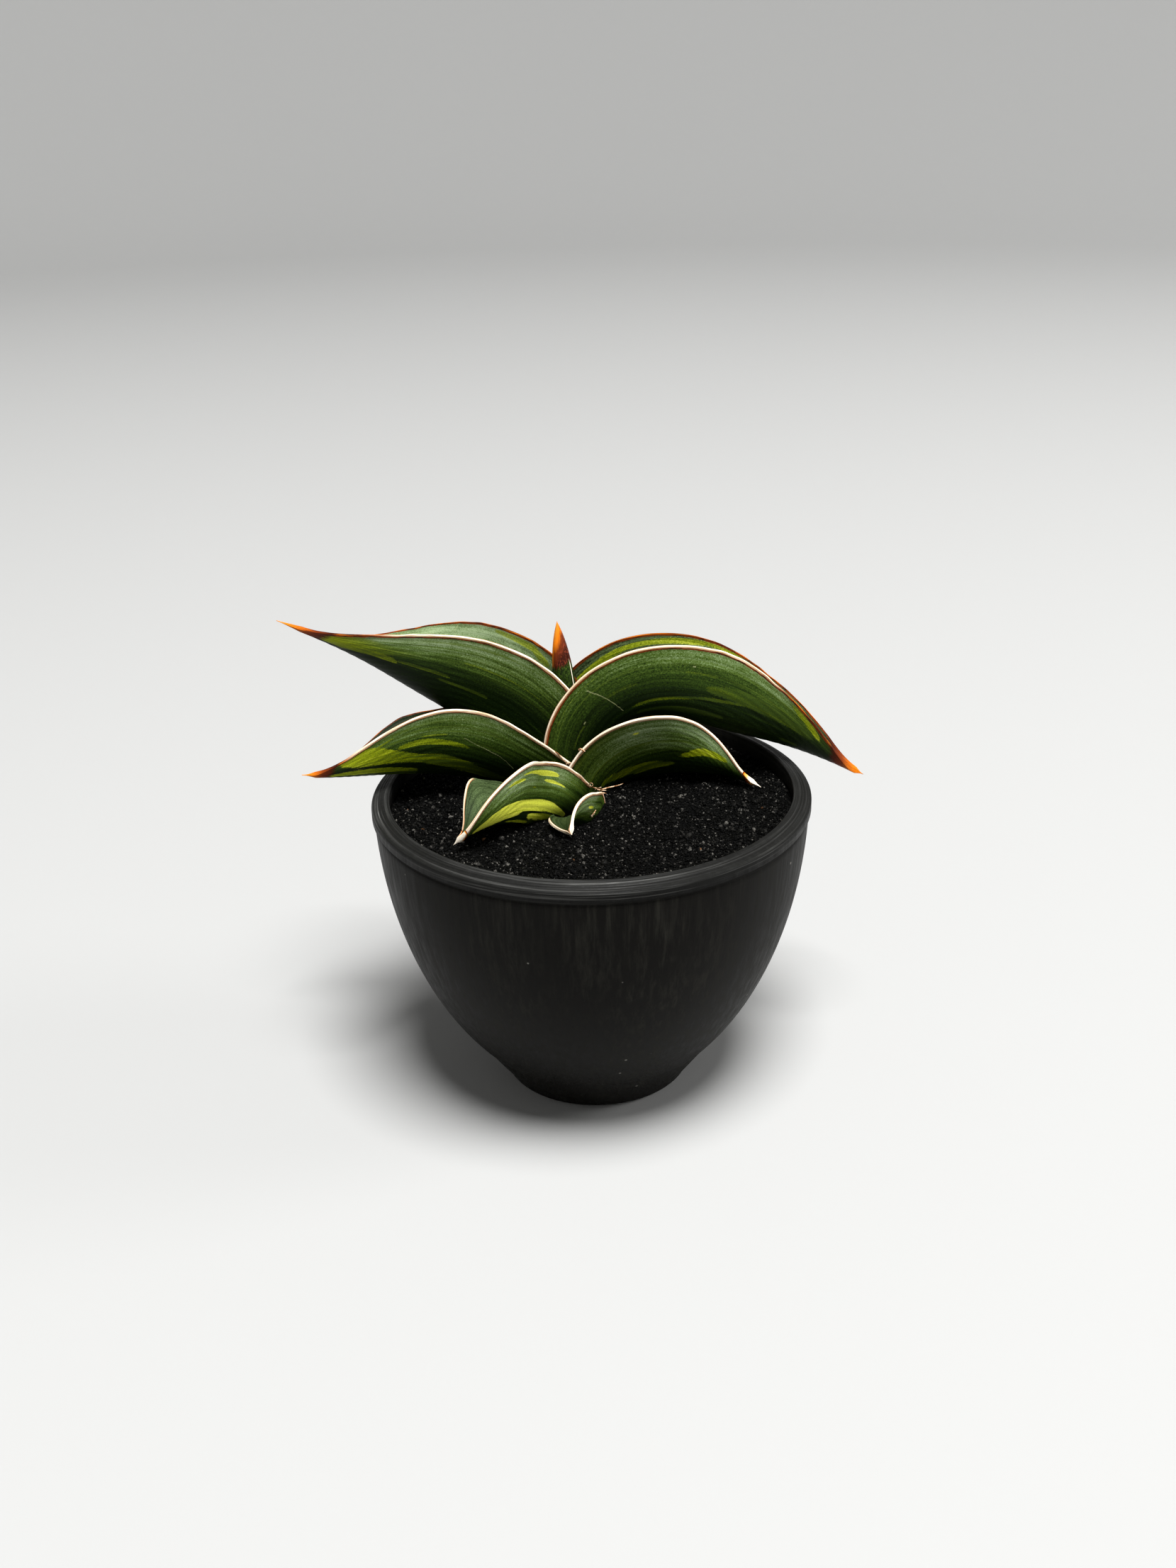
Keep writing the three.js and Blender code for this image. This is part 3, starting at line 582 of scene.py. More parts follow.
def leaf_material():
    """Green leaf: long streaks, a fine stipple, painted light and shade, lime bands, papery margins, a brown spine."""
    leaf = Shader("leaf", "UV", Specular_IOR_Level=0.07)
    mix, plus, step, swing, times = leaf.mix, leaf.plus, leaf.step, leaf.swing, leaf.times
    lime, hue, bloom, rim, warm, bare, inner, edging, needle = map(
        leaf.attribute, ("lime", "hue", "bloom", "rim", "warm", "bare", "inner", "edging", "needle"))
    streaks = leaf.noise((7, 0.26, 1), 4, 0.6, 0.3)
    long_streaks = leaf.noise((11, 0.17, 1), 3, 0.65, 0.3)
    lines = leaf.noise((23, 0.4, 1), 3, 0.6, 0.2)
    stipple = leaf.noise((30, 38, 1), 3, 0.65, 0.9)
    clouds = leaf.noise((2.4, 1.1, 1), 3, 0.6)
    fibres = leaf.noise((30, 1.2, 1), 4, 0.7, 0.35)
    wander = leaf.noise((4, 5, 1))

    # Green of the outer face and of the channel: the ramp rises with bloom, real grey bloom plus painted light
    # on the upper zones, and sinks to painted shade towards the keel and the foot
    ruffle = plus(swing(streaks, 1.5), swing(lines, 1.1), times(swing(clouds, 1.4), bloom), swing(stipple, 2.2))
    level = plus(times(bloom, 0.72), times(ruffle, step(bloom, 0, 0.6, 0.3, 0.62)))
    grey_end = (0.75, GREY_GREEN), (1, FROST_AND_LIGHT_GREEN)
    green = leaf.ramp(level, (0.02, DARK_GREEN), (0.25, DEEP_GREEN), (0.5, MID_GREEN), *grey_end)
    green = mix(times(step(long_streaks, 0.5, 0.72, 0, 0.55), step(bloom, 0.1, 0.5)), green, OLIVE_TINGE)
    channel = leaf.ramp(level, (0.02, DARK_GREEN), (0.3, CHANNEL_GREEN), (0.55, PALE_CHANNEL), *grey_end)
    green = mix(inner, green, channel)

    # Lime bands
    fray = plus(swing(streaks, 0.9), swing(lines, 0.9))
    lime_edge = plus(lime, fray, swing(stipple, 0.8))
    lime_share = times(step(lime_edge, 0.3, 0.7), step(lime, 0.03, 0.3), step(hue, 0, 0.65, 0.22, 0.96))
    ripe = plus(hue, fray, swing(stipple, 1.1))
    lime_colour = leaf.ramp(ripe, (0, MID_GREEN), (0.3, OLIVE), (0.62, LIME), (1, YELLOW_LIME))
    blade = mix(lime_share, green, lime_colour)

    # Small scars, each a wavering stroke
    place = leaf.add("TexCoord").outputs["UV"]
    waver = leaf.vector("SUBTRACT", leaf.add("TexNoise", place).outputs["Color"], (0.5, 0.5, 0.5))
    place = leaf.vector("ADD", place, leaf.vector("MULTIPLY", waver, (0.05, 0.05, 0)))
    for name, on_inner, start, end, breadth in MARKS:
        ends = [grain_place(LEAVES[name], *end_place, on_inner) for end_place in (start, end)]
        mark = leaf.stroke(place, *ends, GRAIN_SCALE * breadth)
        blade = mix(times(mark, step(stipple, 0.35, 0.6, 0.15, 0.7)), blade, SCAR)

    # Papery margin, the brown line inside it (where edging is low, a painted shadow line beside the margin), and the
    # spine
    strip = plus(step(warm, 0, 1, EDGE_STRIP, EDGE_STRIP * (1 - WARM_THINNING)), step(wander, 0.3, 0.7, -0.1, 0.1))
    from_strip = leaf.math("SUBTRACT", rim, strip)
    tanned = plus(swing(fibres, 2.8), step(rim, 0, 0.7, 0.2, 0.8))
    cream = leaf.ramp(tanned, (0, CREAM), (0.45, CREAM_TAN), (1, CREAM_SHADE))
    brown_edge = mix(step(fibres, 0.46, 0.66), RED_BROWN, ORANGE)
    margin = mix(bare, mix(step(warm, 0, 1), cream, brown_edge), green)
    brown_line_and_shadow = mix(bare, mix(times(step(wander, 0.35, 0.6), edging), RED_BROWN, RUST), green)
    past_line = leaf.math("SUBTRACT", from_strip, step(edging, 0, 1, 0.04, 0.55))
    lined = mix(step(past_line, 0.04, 0.28), brown_line_and_shadow, blade)
    colour = mix(step(from_strip, -0.05, 0.05), margin, lined)
    ragged = plus(needle, step(fibres, 0.25, 0.75, -0.14, 0.14))
    spine = leaf.ramp(times(ragged, 0.6), (0.02, RED_BROWN), (0.24, RUST), (0.5, ORANGE), (0.75, STRAW), (1, CREAM))
    spine = mix(step(stipple, 0.5, 0.7, 0, 0.4), spine, RED_BROWN)
    colour = mix(step(ragged, -0.01, 0.03), colour, spine)

    papery = step(from_strip, -0.1, 0.1, 0.75, 0)
    roughness = leaf.math("MAXIMUM", step(stipple, 0.3, 0.8, 0.42, 0.6), papery)
    relief = leaf.bump(lines, 0.05, 0.4)
    relief = leaf.bump(stipple, 0.06, 0.8, relief)
    relief = leaf.bump(times(fibres, step(from_strip, 0, 0.1, 1, 0)), 0.15, 0.8, relief)
    return leaf.finish(colour, roughness, relief)


def leaf_axes(leaf, s):
    """Unit vectors along, across and into a leaf, from its heading, pitch and roll at shares s."""
    heading = np.radians(curve(leaf["heading"], s))
    pitch = np.radians(curve(leaf["pitch"], s, PITCH_KNOTS))
    roll = np.radians(curve(leaf["roll"], s))[:, None]
    forward = np.stack([np.cos(pitch) * np.cos(heading), np.cos(pitch) * np.sin(heading), np.sin(pitch)], -1)
    side = np.stack([-np.sin(heading), np.cos(heading), np.zeros_like(heading)], -1)
    inward = np.cross(forward, side)
    across = side * np.cos(roll) + inward * np.sin(roll)
    return forward, across, inward * np.cos(roll) - side * np.sin(roll)


def keel_line(leaf, rows):
    """Points of the keel: the growing direction summed from the foot, with fine steps between the rows."""
    fine = 8
    s = np.linspace(0, 1, (rows - 1) * fine + 1)
    forward = leaf_axes(leaf, s)[0]
    steps = (forward[1:] + forward[:-1]) / 2 * leaf["length"] / (len(s) - 1)
    line = np.concatenate([np.zeros((1, 3)), np.cumsum(steps, 0)]) + leaf["foot"]
    return line[::fine]


def half_width(leaf, s):
    """A quarter sine up to the widest place, then the falling power curve (1 - r²) ** taper down to the spine."""
    foot, widest = leaf["foot_share"], leaf["widest"]
    rise = foot + (1 - foot) * np.sin(np.clip(s / widest, 0, 1) * np.pi / 2)
    r = np.clip((s - widest) / (1 - widest), 0, 1)
    blade = leaf["half_width"] * np.where(s < widest, rise, (1 - r * r) ** leaf["taper"])
    return np.maximum(blade, blend(SPINE_RADIUS, SPINE_POINT, ease(s, SPINE_START, 1) ** 2))


def half_thickness(s, v, from_rim, width):
    """Thickest on the keel, falling by a power to a dip beside the margin, which stands up as a low bead."""
    spine_share = ease(s, SPINE_START, 1)
    spine = np.minimum(0.95 * width, SPINE_RADIUS)
    blade_keel = blend(KEEL_THICKNESS, TIP_KEEL_THICKNESS, ease(s, *KEEL_THINNING)) / 2
    keel = blend(blade_keel, spine, spine_share)
    edge = blend(EDGE_THICKNESS / 2, spine, spine_share)
    beside = ease(v, *BLADE_DIP_SHARES) * ease(from_rim, EDGE_STRIP - EDGE_BEAD, EDGE_STRIP)
    ribs = RIB_HEIGHT * np.cos(2 * np.pi * from_rim / RIB_SPACING) * ease(from_rim, EDGE_STRIP, RIB_FULL_AT)
    return edge + (keel - edge) * (1 - v) ** KEEL_SHARPNESS - (BLADE_DIP * beside + ribs) * (1 - spine_share)


def section(u, fold, radius):
    """Where a folded half lies at distance u from the keel: it bends by fold * tanh(u / (radius * fold))."""
    samples = (np.arange(SECTION_SAMPLES) + 0.5) / SECTION_SAMPLES
    angle = fold[..., None] * np.tanh(u[..., None] * samples / (radius * fold)[..., None])
    return np.cos(angle).mean(-1) * u, np.sin(angle).mean(-1) * u, fold * np.tanh(u / (radius * fold))


def band_cover(bands, s, v, width, length):
    """How far a point lies inside the bands, 0 to 1 across a band's soft edge, and the hue of the deepest one. A
    band's depth is the distance to its nearer side, and its ends are pointed."""
    cover, hue = np.zeros_like(v), np.zeros_like(v)
    for side, shade, outline in bands:
        knots, low, high = np.array(outline).T / 100
        low, high = np.interp(s, knots, low), np.interp(s, knots, high)
        depth = np.minimum(side * v - low, high - side * v) * width
        ends = BAND_POINT * length * np.minimum(s - knots[0], knots[-1] - s)
        foot_hue, tip_hue = np.broadcast_to(shade, 2)
        soft = blend(OLIVE_SOFTNESS, BAND_SOFTNESS, ease((foot_hue + tip_hue) / 2, 0.1, 0.85))
        breadth = (high - low) * width
        soft = np.minimum(soft, LEAST_SOFTNESS + THIN_BAND_SOFTNESS * breadth)
        inside = ease(np.minimum(depth, ends), -soft, BAND_SOFTNESS) * ease(ends, -0.02, 0.5)
        hue = np.where(inside > cover, np.interp(s, knots[[0, -1]], (foot_hue, tip_hue)), hue)
        cover = np.maximum(cover, inside)
    return cover, hue


def grain_place(leaf, s, v, inner):
    """Where a point of a face lies on the leaf's unrolled skin, in centimetres: round the section, and along."""
    reach = GRAIN_SCALE * leaf["half_width"]
    around = 2 * (reach + GRAIN_LIP) - v * reach if inner else v * reach
    return around, GRAIN_SCALE * leaf["length"] * s + leaf["plot"]


def leaf_piece(name, leaf, material):
    """A ring of points for each row: the outer face, a margin bead, the inner face and the other bead."""
    rows = LEAF_ROWS + round(leaf["length"] * ROWS_PER_MM)
    s = np.linspace(0, 1, rows)[:, None]
    width = half_width(leaf, s)
    left_margin, right_margin = np.broadcast_to(leaf["margin"], 2)
    strip = np.maximum(1 - EDGE_STRIP * left_margin / width, WIDEST_STRIP)
    blade = np.linspace(0, 1, BLADE_COLUMNS)[None, :] * strip
    margin = strip + (1 - strip) * np.linspace(0, 1, STRIP_COLUMNS + 1)[None, 1:]
    half = np.concatenate([blade, margin], 1)
    face = np.concatenate([-half[:, :0:-1], half], 1)
    bead = np.ones((rows, 1)) * np.linspace(-np.pi / 2, np.pi / 2, BEAD_COLUMNS + 2)[None, 1:-1]
    v = np.concatenate([face, np.ones_like(bead), face[:, ::-1], -np.ones_like(bead)], 1)
    on_bead = np.concatenate([np.zeros_like(face), bead, np.zeros_like(face), -bead], 1)
    columns, ring = face.shape[1], v.shape[1]
    part = np.repeat([0, 1, 2, 1], [columns, BEAD_COLUMNS, columns, BEAD_COLUMNS])
    is_bead, is_inner = part == 1, part == 2

    def along_leaf(values):
        return curve(values, s[:, 0])[:, None] * np.ones_like(v)

    def by_side(left, right):
        return np.where(v > 0, left, right)

    from_rim = (1 - np.abs(v)) * width
    thick = half_thickness(s, np.abs(v), from_rim, width)
    fold, radius = np.radians(along_leaf(leaf["fold"])), along_leaf(leaf["keel_radius"])
    inner_limit = np.minimum(thick, KEEL_CLEARANCE * radius)
    normal = np.where(is_bead, thick * np.sin(on_bead), np.where(is_inner, inner_limit, -thick))
    side = np.where(v == 0, 1, np.sign(v))
    along = s * leaf["length"]
    wobble = EDGE_WAVE * lattice_noise(along + 40 * side, 7 * side, EDGE_WAVE_LENGTH, SEED)
    wobble = wobble * ease(EDGE_WAVE_REACH - from_rim, 0, EDGE_WAVE_REACH)
    warm, bare = (by_side(*(ease(s, *shares) for shares in leaf[key])) for key in ("warm", "bare"))
    own_margin = by_side(left_margin, right_margin)
    thinned = 1 - WARM_THINNING * np.maximum(warm, bare)
    bead_reach = EDGE_BEAD * own_margin * thinned * np.minimum(1, width / SPINE_RADIUS)
    out = np.where(is_bead, bead_reach * np.cos(on_bead), 0) + wobble * np.minimum(1, width / EDGE_WAVE_WIDTH)

    spread = by_side(*map(along_leaf, leaf["spread"]))
    x, y, angle = section(np.abs(v) * width * spread, fold, radius)
    x = x + out * np.cos(angle) - normal * np.sin(angle)
    y = y + out * np.sin(angle) + normal * np.cos(angle)
    _, across, inward = leaf_axes(leaf, s[:, 0])
    points = keel_line(leaf, rows)[:, None] + (side * x)[..., None] * across[:, None] + y[..., None] * inward[:, None]

    outer = np.arange(columns)
    inner = 2 * columns + BEAD_COLUMNS - 1 - outer
    cap = np.stack([outer[:-1], inner[:-1], inner[1:], outer[1:]], -1)
    beads = [[*range(columns - 1, columns + BEAD_COLUMNS + 1)], [*range(2 * columns + BEAD_COLUMNS - 1, ring), 0]]
    last = (rows - 1) * ring
    faces = grid_faces(rows, ring).tolist() + cap.tolist() + [b[::-1] for b in beads]
    faces += (cap[:, ::-1] + last).tolist() + [[k + last for k in b] for b in beads]
    piece = make_piece(name, points, faces, material)

    lime, hue = (np.where(is_inner, inside, outside) for inside, outside in
                 zip(*(band_cover(leaf[key], s, v, width, leaf["length"]) for key in ("inner", "bands"))))
    needle = -1
    if leaf["needle"]:
        slant = 1 + NEEDLE_SLANT * (np.abs(v) - 0.5)
        needle = 1 - (1 - s) * leaf["length"] / (leaf["needle"] * slant)
        dry_rim = NEEDLE_RIM * (leaf["dryness"] - 1) * v ** 6
        needle = np.where(needle > 0, needle * leaf["dryness"] + dry_rim, needle)
    # Painted shade at the foot, deep in the clump; the grey also falls off towards the tip
    foot_shade = blend(FOOT_PAINTED_SHADE, 1, ease(s, *FOOT_PAINTED_SHADE_SHARES))
    tip_shade = blend(TIP_BLOOM, 1, ease(1 - s, *TIP_BLOOM_SHARES))
    # Outer faces: real grey bloom near the margins, with painted light on the upper zones and painted shade towards the
    # keel; channels: real frost with painted light and shade set per leaf
    bloom = np.where(is_inner, leaf["frost_and_light"], ease(np.abs(v), *leaf["bloom"])) * (foot_shade * tip_shade)
    paint(piece, v.shape, rim=np.where(is_bead, 0, from_rim) / own_margin, lime=lime, hue=hue, bloom=bloom,
          warm=warm, bare=bare, inner=is_inner, needle=needle, edging=leaf["edging"])
    outer_place, grain_along = grain_place(leaf, s, v, False)
    rim_place = grain_place(leaf, s, 1, False)[0]
    lip = grain_place(leaf, s, 0, True)[0] / 2 - rim_place
    on_lip = lip * (1 + np.sin(on_bead))
    round_section = np.where(is_inner, grain_place(leaf, s, v, True)[0], outer_place)
    round_section = np.where(is_bead & (v > 0), rim_place + on_lip, round_section)
    round_section = np.where(is_bead & (v < 0), 3 * rim_place + 4 * lip - on_lip, round_section)
    lay_grain(piece, round_section, grain_along * np.ones_like(v), 4 * (rim_place + lip))
    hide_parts("leaf_" + name.removesuffix("_leaf"))
    return piece


def spear_material():
    """Rolled leaf: mottled green foot, maroon above it, orange on the left and at the point, pale seam."""
    spear = Shader("spear", Specular_IOR_Level=0.1)
    mix, plus, step, swing, times = spear.mix, spear.plus, spear.step, spear.swing, spear.times
    height, rim, facing = map(spear.attribute, ("height", "rim", "facing"))
    fibres = spear.noise((1500, 1500, 160), 4, 0.65, 0.4)
    flecks = spear.noise((2400, 2400, 1500), 3, 0.7, 1)
    level = plus(height, swing(fibres, 0.4))
    mottle = plus(swing(flecks, 2.4), 0.22)
    green = spear.ramp(mottle, (0, DARK_GREEN), (0.3, DEEP_GREEN), (0.7, MID_GREEN), (1, GREY_GREEN))
    ripe = plus(level, times(facing, -0.3))
    brown = spear.ramp(ripe, (0.14, RED_BROWN), (0.46, RUST), (0.7, ORANGE), (1, SPEAR_ORANGE))
    brown = mix(times(step(flecks, 0.5, 0.66), step(ripe, 0.5, 0.2, 0.1, 0.6)), brown, SPEAR_BLOTCH)
    brown = mix(step(facing, -0.75, -1, 0, 0.8), brown, ORANGE)
    colour = mix(step(plus(level, times(facing, -0.08)), -0.06, 0.03), green, brown)
    colour = mix(times(step(rim, 0.34, 0.22), step(level, 0.1, -0.05)), colour, CREAM)
    relief = spear.bump(flecks, 0.06, 0.8, spear.bump(fibres, 0.08, 0.6))
    return spear.finish(colour, step(fibres, 0.3, 0.7, 0.4, 0.6), relief)


def spear_piece(material):
    """A cone whose radius fills out as 1 - exp(-depth / sharpness); its section is a spiral with one step."""
    share = 1 - (1 - np.linspace(0, 1, SPEAR_ROWS)[:, None]) ** SPEAR_CROWDING
    foot, tip = np.array(SPEAR_FOOT, float), np.array(SPEAR_TIP, float)
    depth = np.linalg.norm(tip - foot) * (1 - share)
    radius = np.maximum(SPEAR_RADIUS * (1 - np.exp(-depth / SPEAR_SHARPNESS)), SPINE_POINT)
    turn = np.minimum(np.linspace(0, 1, SPEAR_COLUMNS + 1), SPEAR_LAP)[None, :]
    angle = SPEAR_SEAM + 2 * np.pi * turn
    reach = radius * (1 + SPEAR_STEP * (0.5 - turn))
    centre = foot + (tip - foot) * share
    points = np.stack([centre[:, :1] + reach * np.cos(angle), centre[:, 1:2] + reach * np.sin(angle),
                       centre[:, 2:] * np.ones_like(reach)], -1)
    piece = make_piece("spear", points, capped_faces(SPEAR_ROWS, SPEAR_COLUMNS + 1), material)
    brown = (centre[:, 2:] - SOIL_LEVEL - SPEAR_GREEN) / (tip[2] - SOIL_LEVEL - SPEAR_GREEN)
    paint(piece, reach.shape, height=brown, rim=turn * 2 * np.pi * radius, facing=np.cos(angle))
    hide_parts("leaf_spear")
    return piece


def pot_material():
    """Satin black plastic: fine upright scuffs, broken turned lines on the lip, cloudy wear and pale specks."""
    pot = Shader("pot", Specular_IOR_Level=0.06)
    mix, step, times = pot.mix, pot.step, pot.times
    scuffs = pot.noise((620, 620, 26), 5, 0.68, 0.2)
    hair = pot.noise((1700, 1700, 60), 3, 0.6)
    clouds = pot.noise((30, 30, 18), 4)
    specks = pot.cells(120).outputs["Distance"]
    rim, lip, outline = map(pot.attribute, ("rim_share", "lip_depth", "outline"))
    around = pot.add("SeparateXYZ", pot.place((16, 16, 16))).outputs
    turns = pot.add("CombineXYZ", times(outline, 1.7), around[0], around[1]).outputs[0]
    rings = pot.fill(pot.add("TexNoise", turns), Scale=1, Detail=4, Roughness=0.7, Distortion=0).outputs["Fac"]

    worn = times(step(scuffs, 0.42, 0.72), step(clouds, 0.35, 0.7, 0.25, 1))
    body = mix(worn, (0.0030, 0.0027, 0.0021), (0.0150, 0.0145, 0.0115))
    body = mix(step(hair, 0.52, 0.7, 0, 0.5), body, (0.0012, 0.0011, 0.0009))
    on_lip = step(lip, -0.5, 0.2, 0.3, 1)
    turned_rim = mix(step(scuffs, 0.4, 0.7), (0.014, 0.014, 0.0128), (0.025, 0.025, 0.023))
    turned_rim = mix(on_lip, turned_rim, (0.006, 0.006, 0.0055))
    scraped = times(step(rings, 0.48, 0.66), times(on_lip, step(clouds, 0.35, 0.6, 0.3, 1)))
    turned_rim = mix(scraped, turned_rim, (0.055, 0.055, 0.052))
    scratches = times(step(rings, 0.63, 0.7), times(step(clouds, 0.52, 0.62), on_lip))
    turned_rim = mix(scratches, turned_rim, (0.300, 0.300, 0.280))
    colour = mix(rim, body, turned_rim)
    colour = mix(step(specks, 0.03, 0.05, 0.4, 0), colour, (0.3, 0.29, 0.26))
    roughness = pot.plus(step(scuffs, 0.3, 0.75, 0.4, 0.6), pot.swing(clouds, 0.15))
    relief = pot.bump(hair, 0.02, 0.4, pot.bump(scuffs, 0.06, 0.4))
    relief = pot.bump(times(rings, rim, on_lip), 0.12, 0.7, relief)
    return pot.finish(colour, roughness, relief)


def arc(centre, radius, start, end, count):
    """Points of an arc in the profile's plane, angles in degrees."""
    angle = np.radians(np.linspace(start, end, count))
    return np.stack([centre[0] + radius * np.cos(angle), centre[1] + radius * np.sin(angle)], -1)


def belly(low, high, count, inset):
    """The belly's outline: an ellipse that is fullest at the rim, set in by the wall on the inside."""
    height = np.linspace(low, high, count)
    below = BELLY_ROUNDNESS * (1 - height / POT_HEIGHT)
    return np.stack([BELLY_RADIUS * np.sqrt(1 - below ** 2) - inset, height], -1)


def pot_profile():
    """Outline of the wall from the underside's centre, up the outside, over the rim and down the inside."""
    axis_gap = 0.02
    lip_top = POT_HEIGHT - RIM_FALL
    lip_foot = lip_top - LIP_HEIGHT
    foot = [(FOOT_RADIUS + out, up) for out, up in FOOT_EDGE]
    foot_curve = np.stack([np.interp(np.linspace(0, 2, 9), range(3), [p[k] for p in foot]) for k in (0, 1)], -1)
    outside = belly(BELLY_START, lip_foot - 2 * GROOVE_DEPTH, 60, 0)
    groove = arc((RIM_RADIUS - 0.15, lip_foot - GROOVE_DEPTH), GROOVE_DEPTH, 215, 130, 7)
    lip = [(RIM_RADIUS, lip_foot + 0.1), (RIM_RADIUS, lip_top - RIM_BEVEL)]
    shoulder = arc((RIM_RADIUS - RIM_BEVEL, lip_top - RIM_BEVEL), RIM_BEVEL, 0, 80, 6)
    share = np.linspace(0.02, 0.98, 40)
    waves = RIM_WAVE * np.sin(share * 2 * np.pi * RIM_WAVES) * np.sin(share * np.pi)
    inner_edge = RIM_RADIUS - RIM_WIDTH + RIM_BEVEL
    rim = np.stack([blend(RIM_RADIUS - RIM_BEVEL, inner_edge, share), blend(lip_top, POT_HEIGHT, share) + waves], -1)
    mouth = arc((inner_edge, POT_HEIGHT - RIM_BEVEL), RIM_BEVEL, 90, 180, 6)
    inside = belly(INSIDE_START, POT_HEIGHT - LIP_HEIGHT - RIM_WIDTH, 30, WALL)[::-1]
    floor = [(FOOT_RADIUS + 1, FLOOR + 1), (FOOT_RADIUS - WALL / 2, FLOOR), (axis_gap, FLOOR)]
    return np.concatenate([[(axis_gap, 0)], foot_curve, outside, groove, lip, shoulder, rim, mouth, inside, floor])


def pot_piece(material):
    """The profile turned about the upright axis, with the drain holes cut through its floor."""
    profile = pot_profile()
    radius, height = profile.T
    faces = capped_faces(len(profile), POT_COLUMNS)
    piece = make_piece("pot_body", turned(radius, height, POT_COLUMNS), faces, material)
    outline = np.concatenate([[0], np.cumsum(np.hypot(*np.diff(profile, axis=0).T))])
    depth = POT_HEIGHT - RIM_FALL - height
    rim_share = ease(-depth, -LIP_HEIGHT - 1.2, -LIP_HEIGHT)
    rim_share *= ease(radius, RIM_RADIUS - RIM_WIDTH - 0.6, RIM_RADIUS - RIM_WIDTH + 0.2)
    lip_depth = depth * ease(radius, RIM_RADIUS - 1.5, RIM_RADIUS - 0.5)
    paint(piece, (len(profile), POT_COLUMNS), outline=outline[:, None], rim_share=rim_share[:, None],
          lip_depth=lip_depth[:, None])
    for angle in (np.arange(DRAIN_COUNT) + 0.5) * 2 * np.pi / DRAIN_COUNT:
        cut_drain(piece, DRAIN_CIRCLE * np.array([np.cos(angle), np.sin(angle)]), material)
    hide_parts("pot")


def cut_drain(piece, centre, material):
    """Cuts a round hole through the floor with a Boolean difference, which is then applied."""
    points = turned((DRAIN_RADIUS, DRAIN_RADIUS), (-FLOOR, 2 * FLOOR), DRAIN_COLUMNS) + (*centre, 0)
    drill = make_piece("drill", points, capped_faces(2, DRAIN_COLUMNS), material, smooth=False)
    cut = piece.modifiers.new("drain", "BOOLEAN")
    cut.object = drill
    cut.operation = "DIFFERENCE"
    cut.solver = "EXACT"
    bpy.context.view_layer.objects.active = piece
    bpy.ops.object.modifier_apply(modifier=cut.name)
    bpy.data.objects.remove(drill)


def soil_height(x, y):
    """Low waves, a hollow in front of the clump and one under the small leaf, and the lumps of settled grit."""
    waves = np.sin(0.31 * x + 0.8) * np.cos(0.27 * y - 0.4) + 0.5 * np.sin(0.63 * x - 0.52 * y)
    lumps = 0.35 * lattice_noise(x, y, 3.1, SEED + 1) + 0.18 * lattice_noise(x, y, 1.2, SEED + 2)
    hollows = 0
    for (centre_x, centre_y), reach, depth in SOIL_HOLLOWS:
        hollows = hollows + depth * np.exp(-(np.hypot(x - centre_x, y - centre_y) / reach) ** 2)
    return SOIL_LEVEL - hollows + SOIL_WAVE * waves + lumps - GRIT_DEPTH


def grit_material():
    """Black volcanic grit: black to grey grains, a few pale and brown crumbs, and grain shapes on the fill. The palest
    tones are partly painted glints.
    """
    grit = Shader("grit", Specular_IOR_Level=0.05)
    tone, loose, brown = map(grit.attribute, ("tone", "loose", "brown"))
    grain = grit.noise((2600, 2600, 2600), 3, 0.6)
    cells = grit.cells(1250)
    own_tone = grit.times(grit.add("SeparateColor", cells.outputs["Color"]).outputs[0], 0.93)
    tone = grit.fill(grit.add("Mix", loose, data_type="FLOAT"), A=own_tone, B=tone).outputs["Result"]
    tone = grit.plus(tone, grit.swing(grain, 0.35))
    # The brightest stops are partly real pale grains and partly painted glints on grain facets
    colour = grit.ramp(tone, (0, (0.0002, 0.0002, 0.0001)), (0.62, (0.0005, 0.0005, 0.0004)),
                       (0.84, (0.0028, 0.0027, 0.0023)), (0.95, (0.019, 0.018, 0.016)), (1, (0.095, 0.090, 0.079)))
    colour = grit.mix(brown, colour, (0.110, 0.050, 0.020))
    relief = grit.bump(grit.times(cells.outputs["Distance"], grit.math("SUBTRACT", loose, 1)), 0.6, 1)
    relief = grit.bump(grain, 0.12, 0.9, relief)
    return grit.finish(colour, grit.step(grain, 0.3, 0.7, 0.45, 0.85), relief)


def soil_piece(material):
    """The fill: a lumpy top on a polar grid, closed by the pot's inner wall and floor set in a little."""
    set_in = 0.3
    wall = belly(INSIDE_START, SOIL_LEVEL - 1, 20, WALL + set_in)
    radius = np.concatenate([[0.1, FOOT_RADIUS - 2], wall[:, 0], SOIL_REACH * np.linspace(1, 0.004, SOIL_RINGS)])
    points = turned(radius, np.zeros_like(radius), SOIL_COLUMNS)
    points[..., 2] = soil_height(points[..., 0], points[..., 1])
    below = np.concatenate([[FLOOR + set_in, FLOOR + set_in], wall[:, 1]])
    points[:len(below), :, 2] = below[:, None]
    piece = make_piece("soil_fill", points, capped_faces(len(radius), SOIL_COLUMNS), material)
    paint(piece, points.shape[:2], tone=0, loose=0, brown=0)
    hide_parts("soil")


OCTAHEDRON = (
    np.array([(1, 0, 0), (0, 1, 0), (-1, 0, 0), (0, -1, 0), (0, 0, 1), (0, 0, -1)], float),
    np.array([(0, 1, 4), (1, 2, 4), (2, 3, 4), (3, 0, 4), (1, 0, 5), (2, 1, 5), (3, 2, 5), (0, 3, 5)]),
)


def rounder(points, faces):
    """Splits each triangle into four at the middles of its edges, pushed out to the unit sphere."""
    edges = np.sort(np.concatenate([faces[:, [0, 1]], faces[:, [1, 2]], faces[:, [2, 0]]]), 1)
    pairs, place = np.unique(edges, axis=0, return_inverse=True)
    middles = unit(points[pairs].sum(1))
    (a, b, c), (ab, bc, ca) = faces.T, place.reshape(3, -1) + len(points)
    split = [np.stack(corners, -1) for corners in ((a, ab, ca), (b, bc, ab), (c, ca, bc), (ab, bc, ca))]
    return np.concatenate([points, middles]), np.concatenate(split)


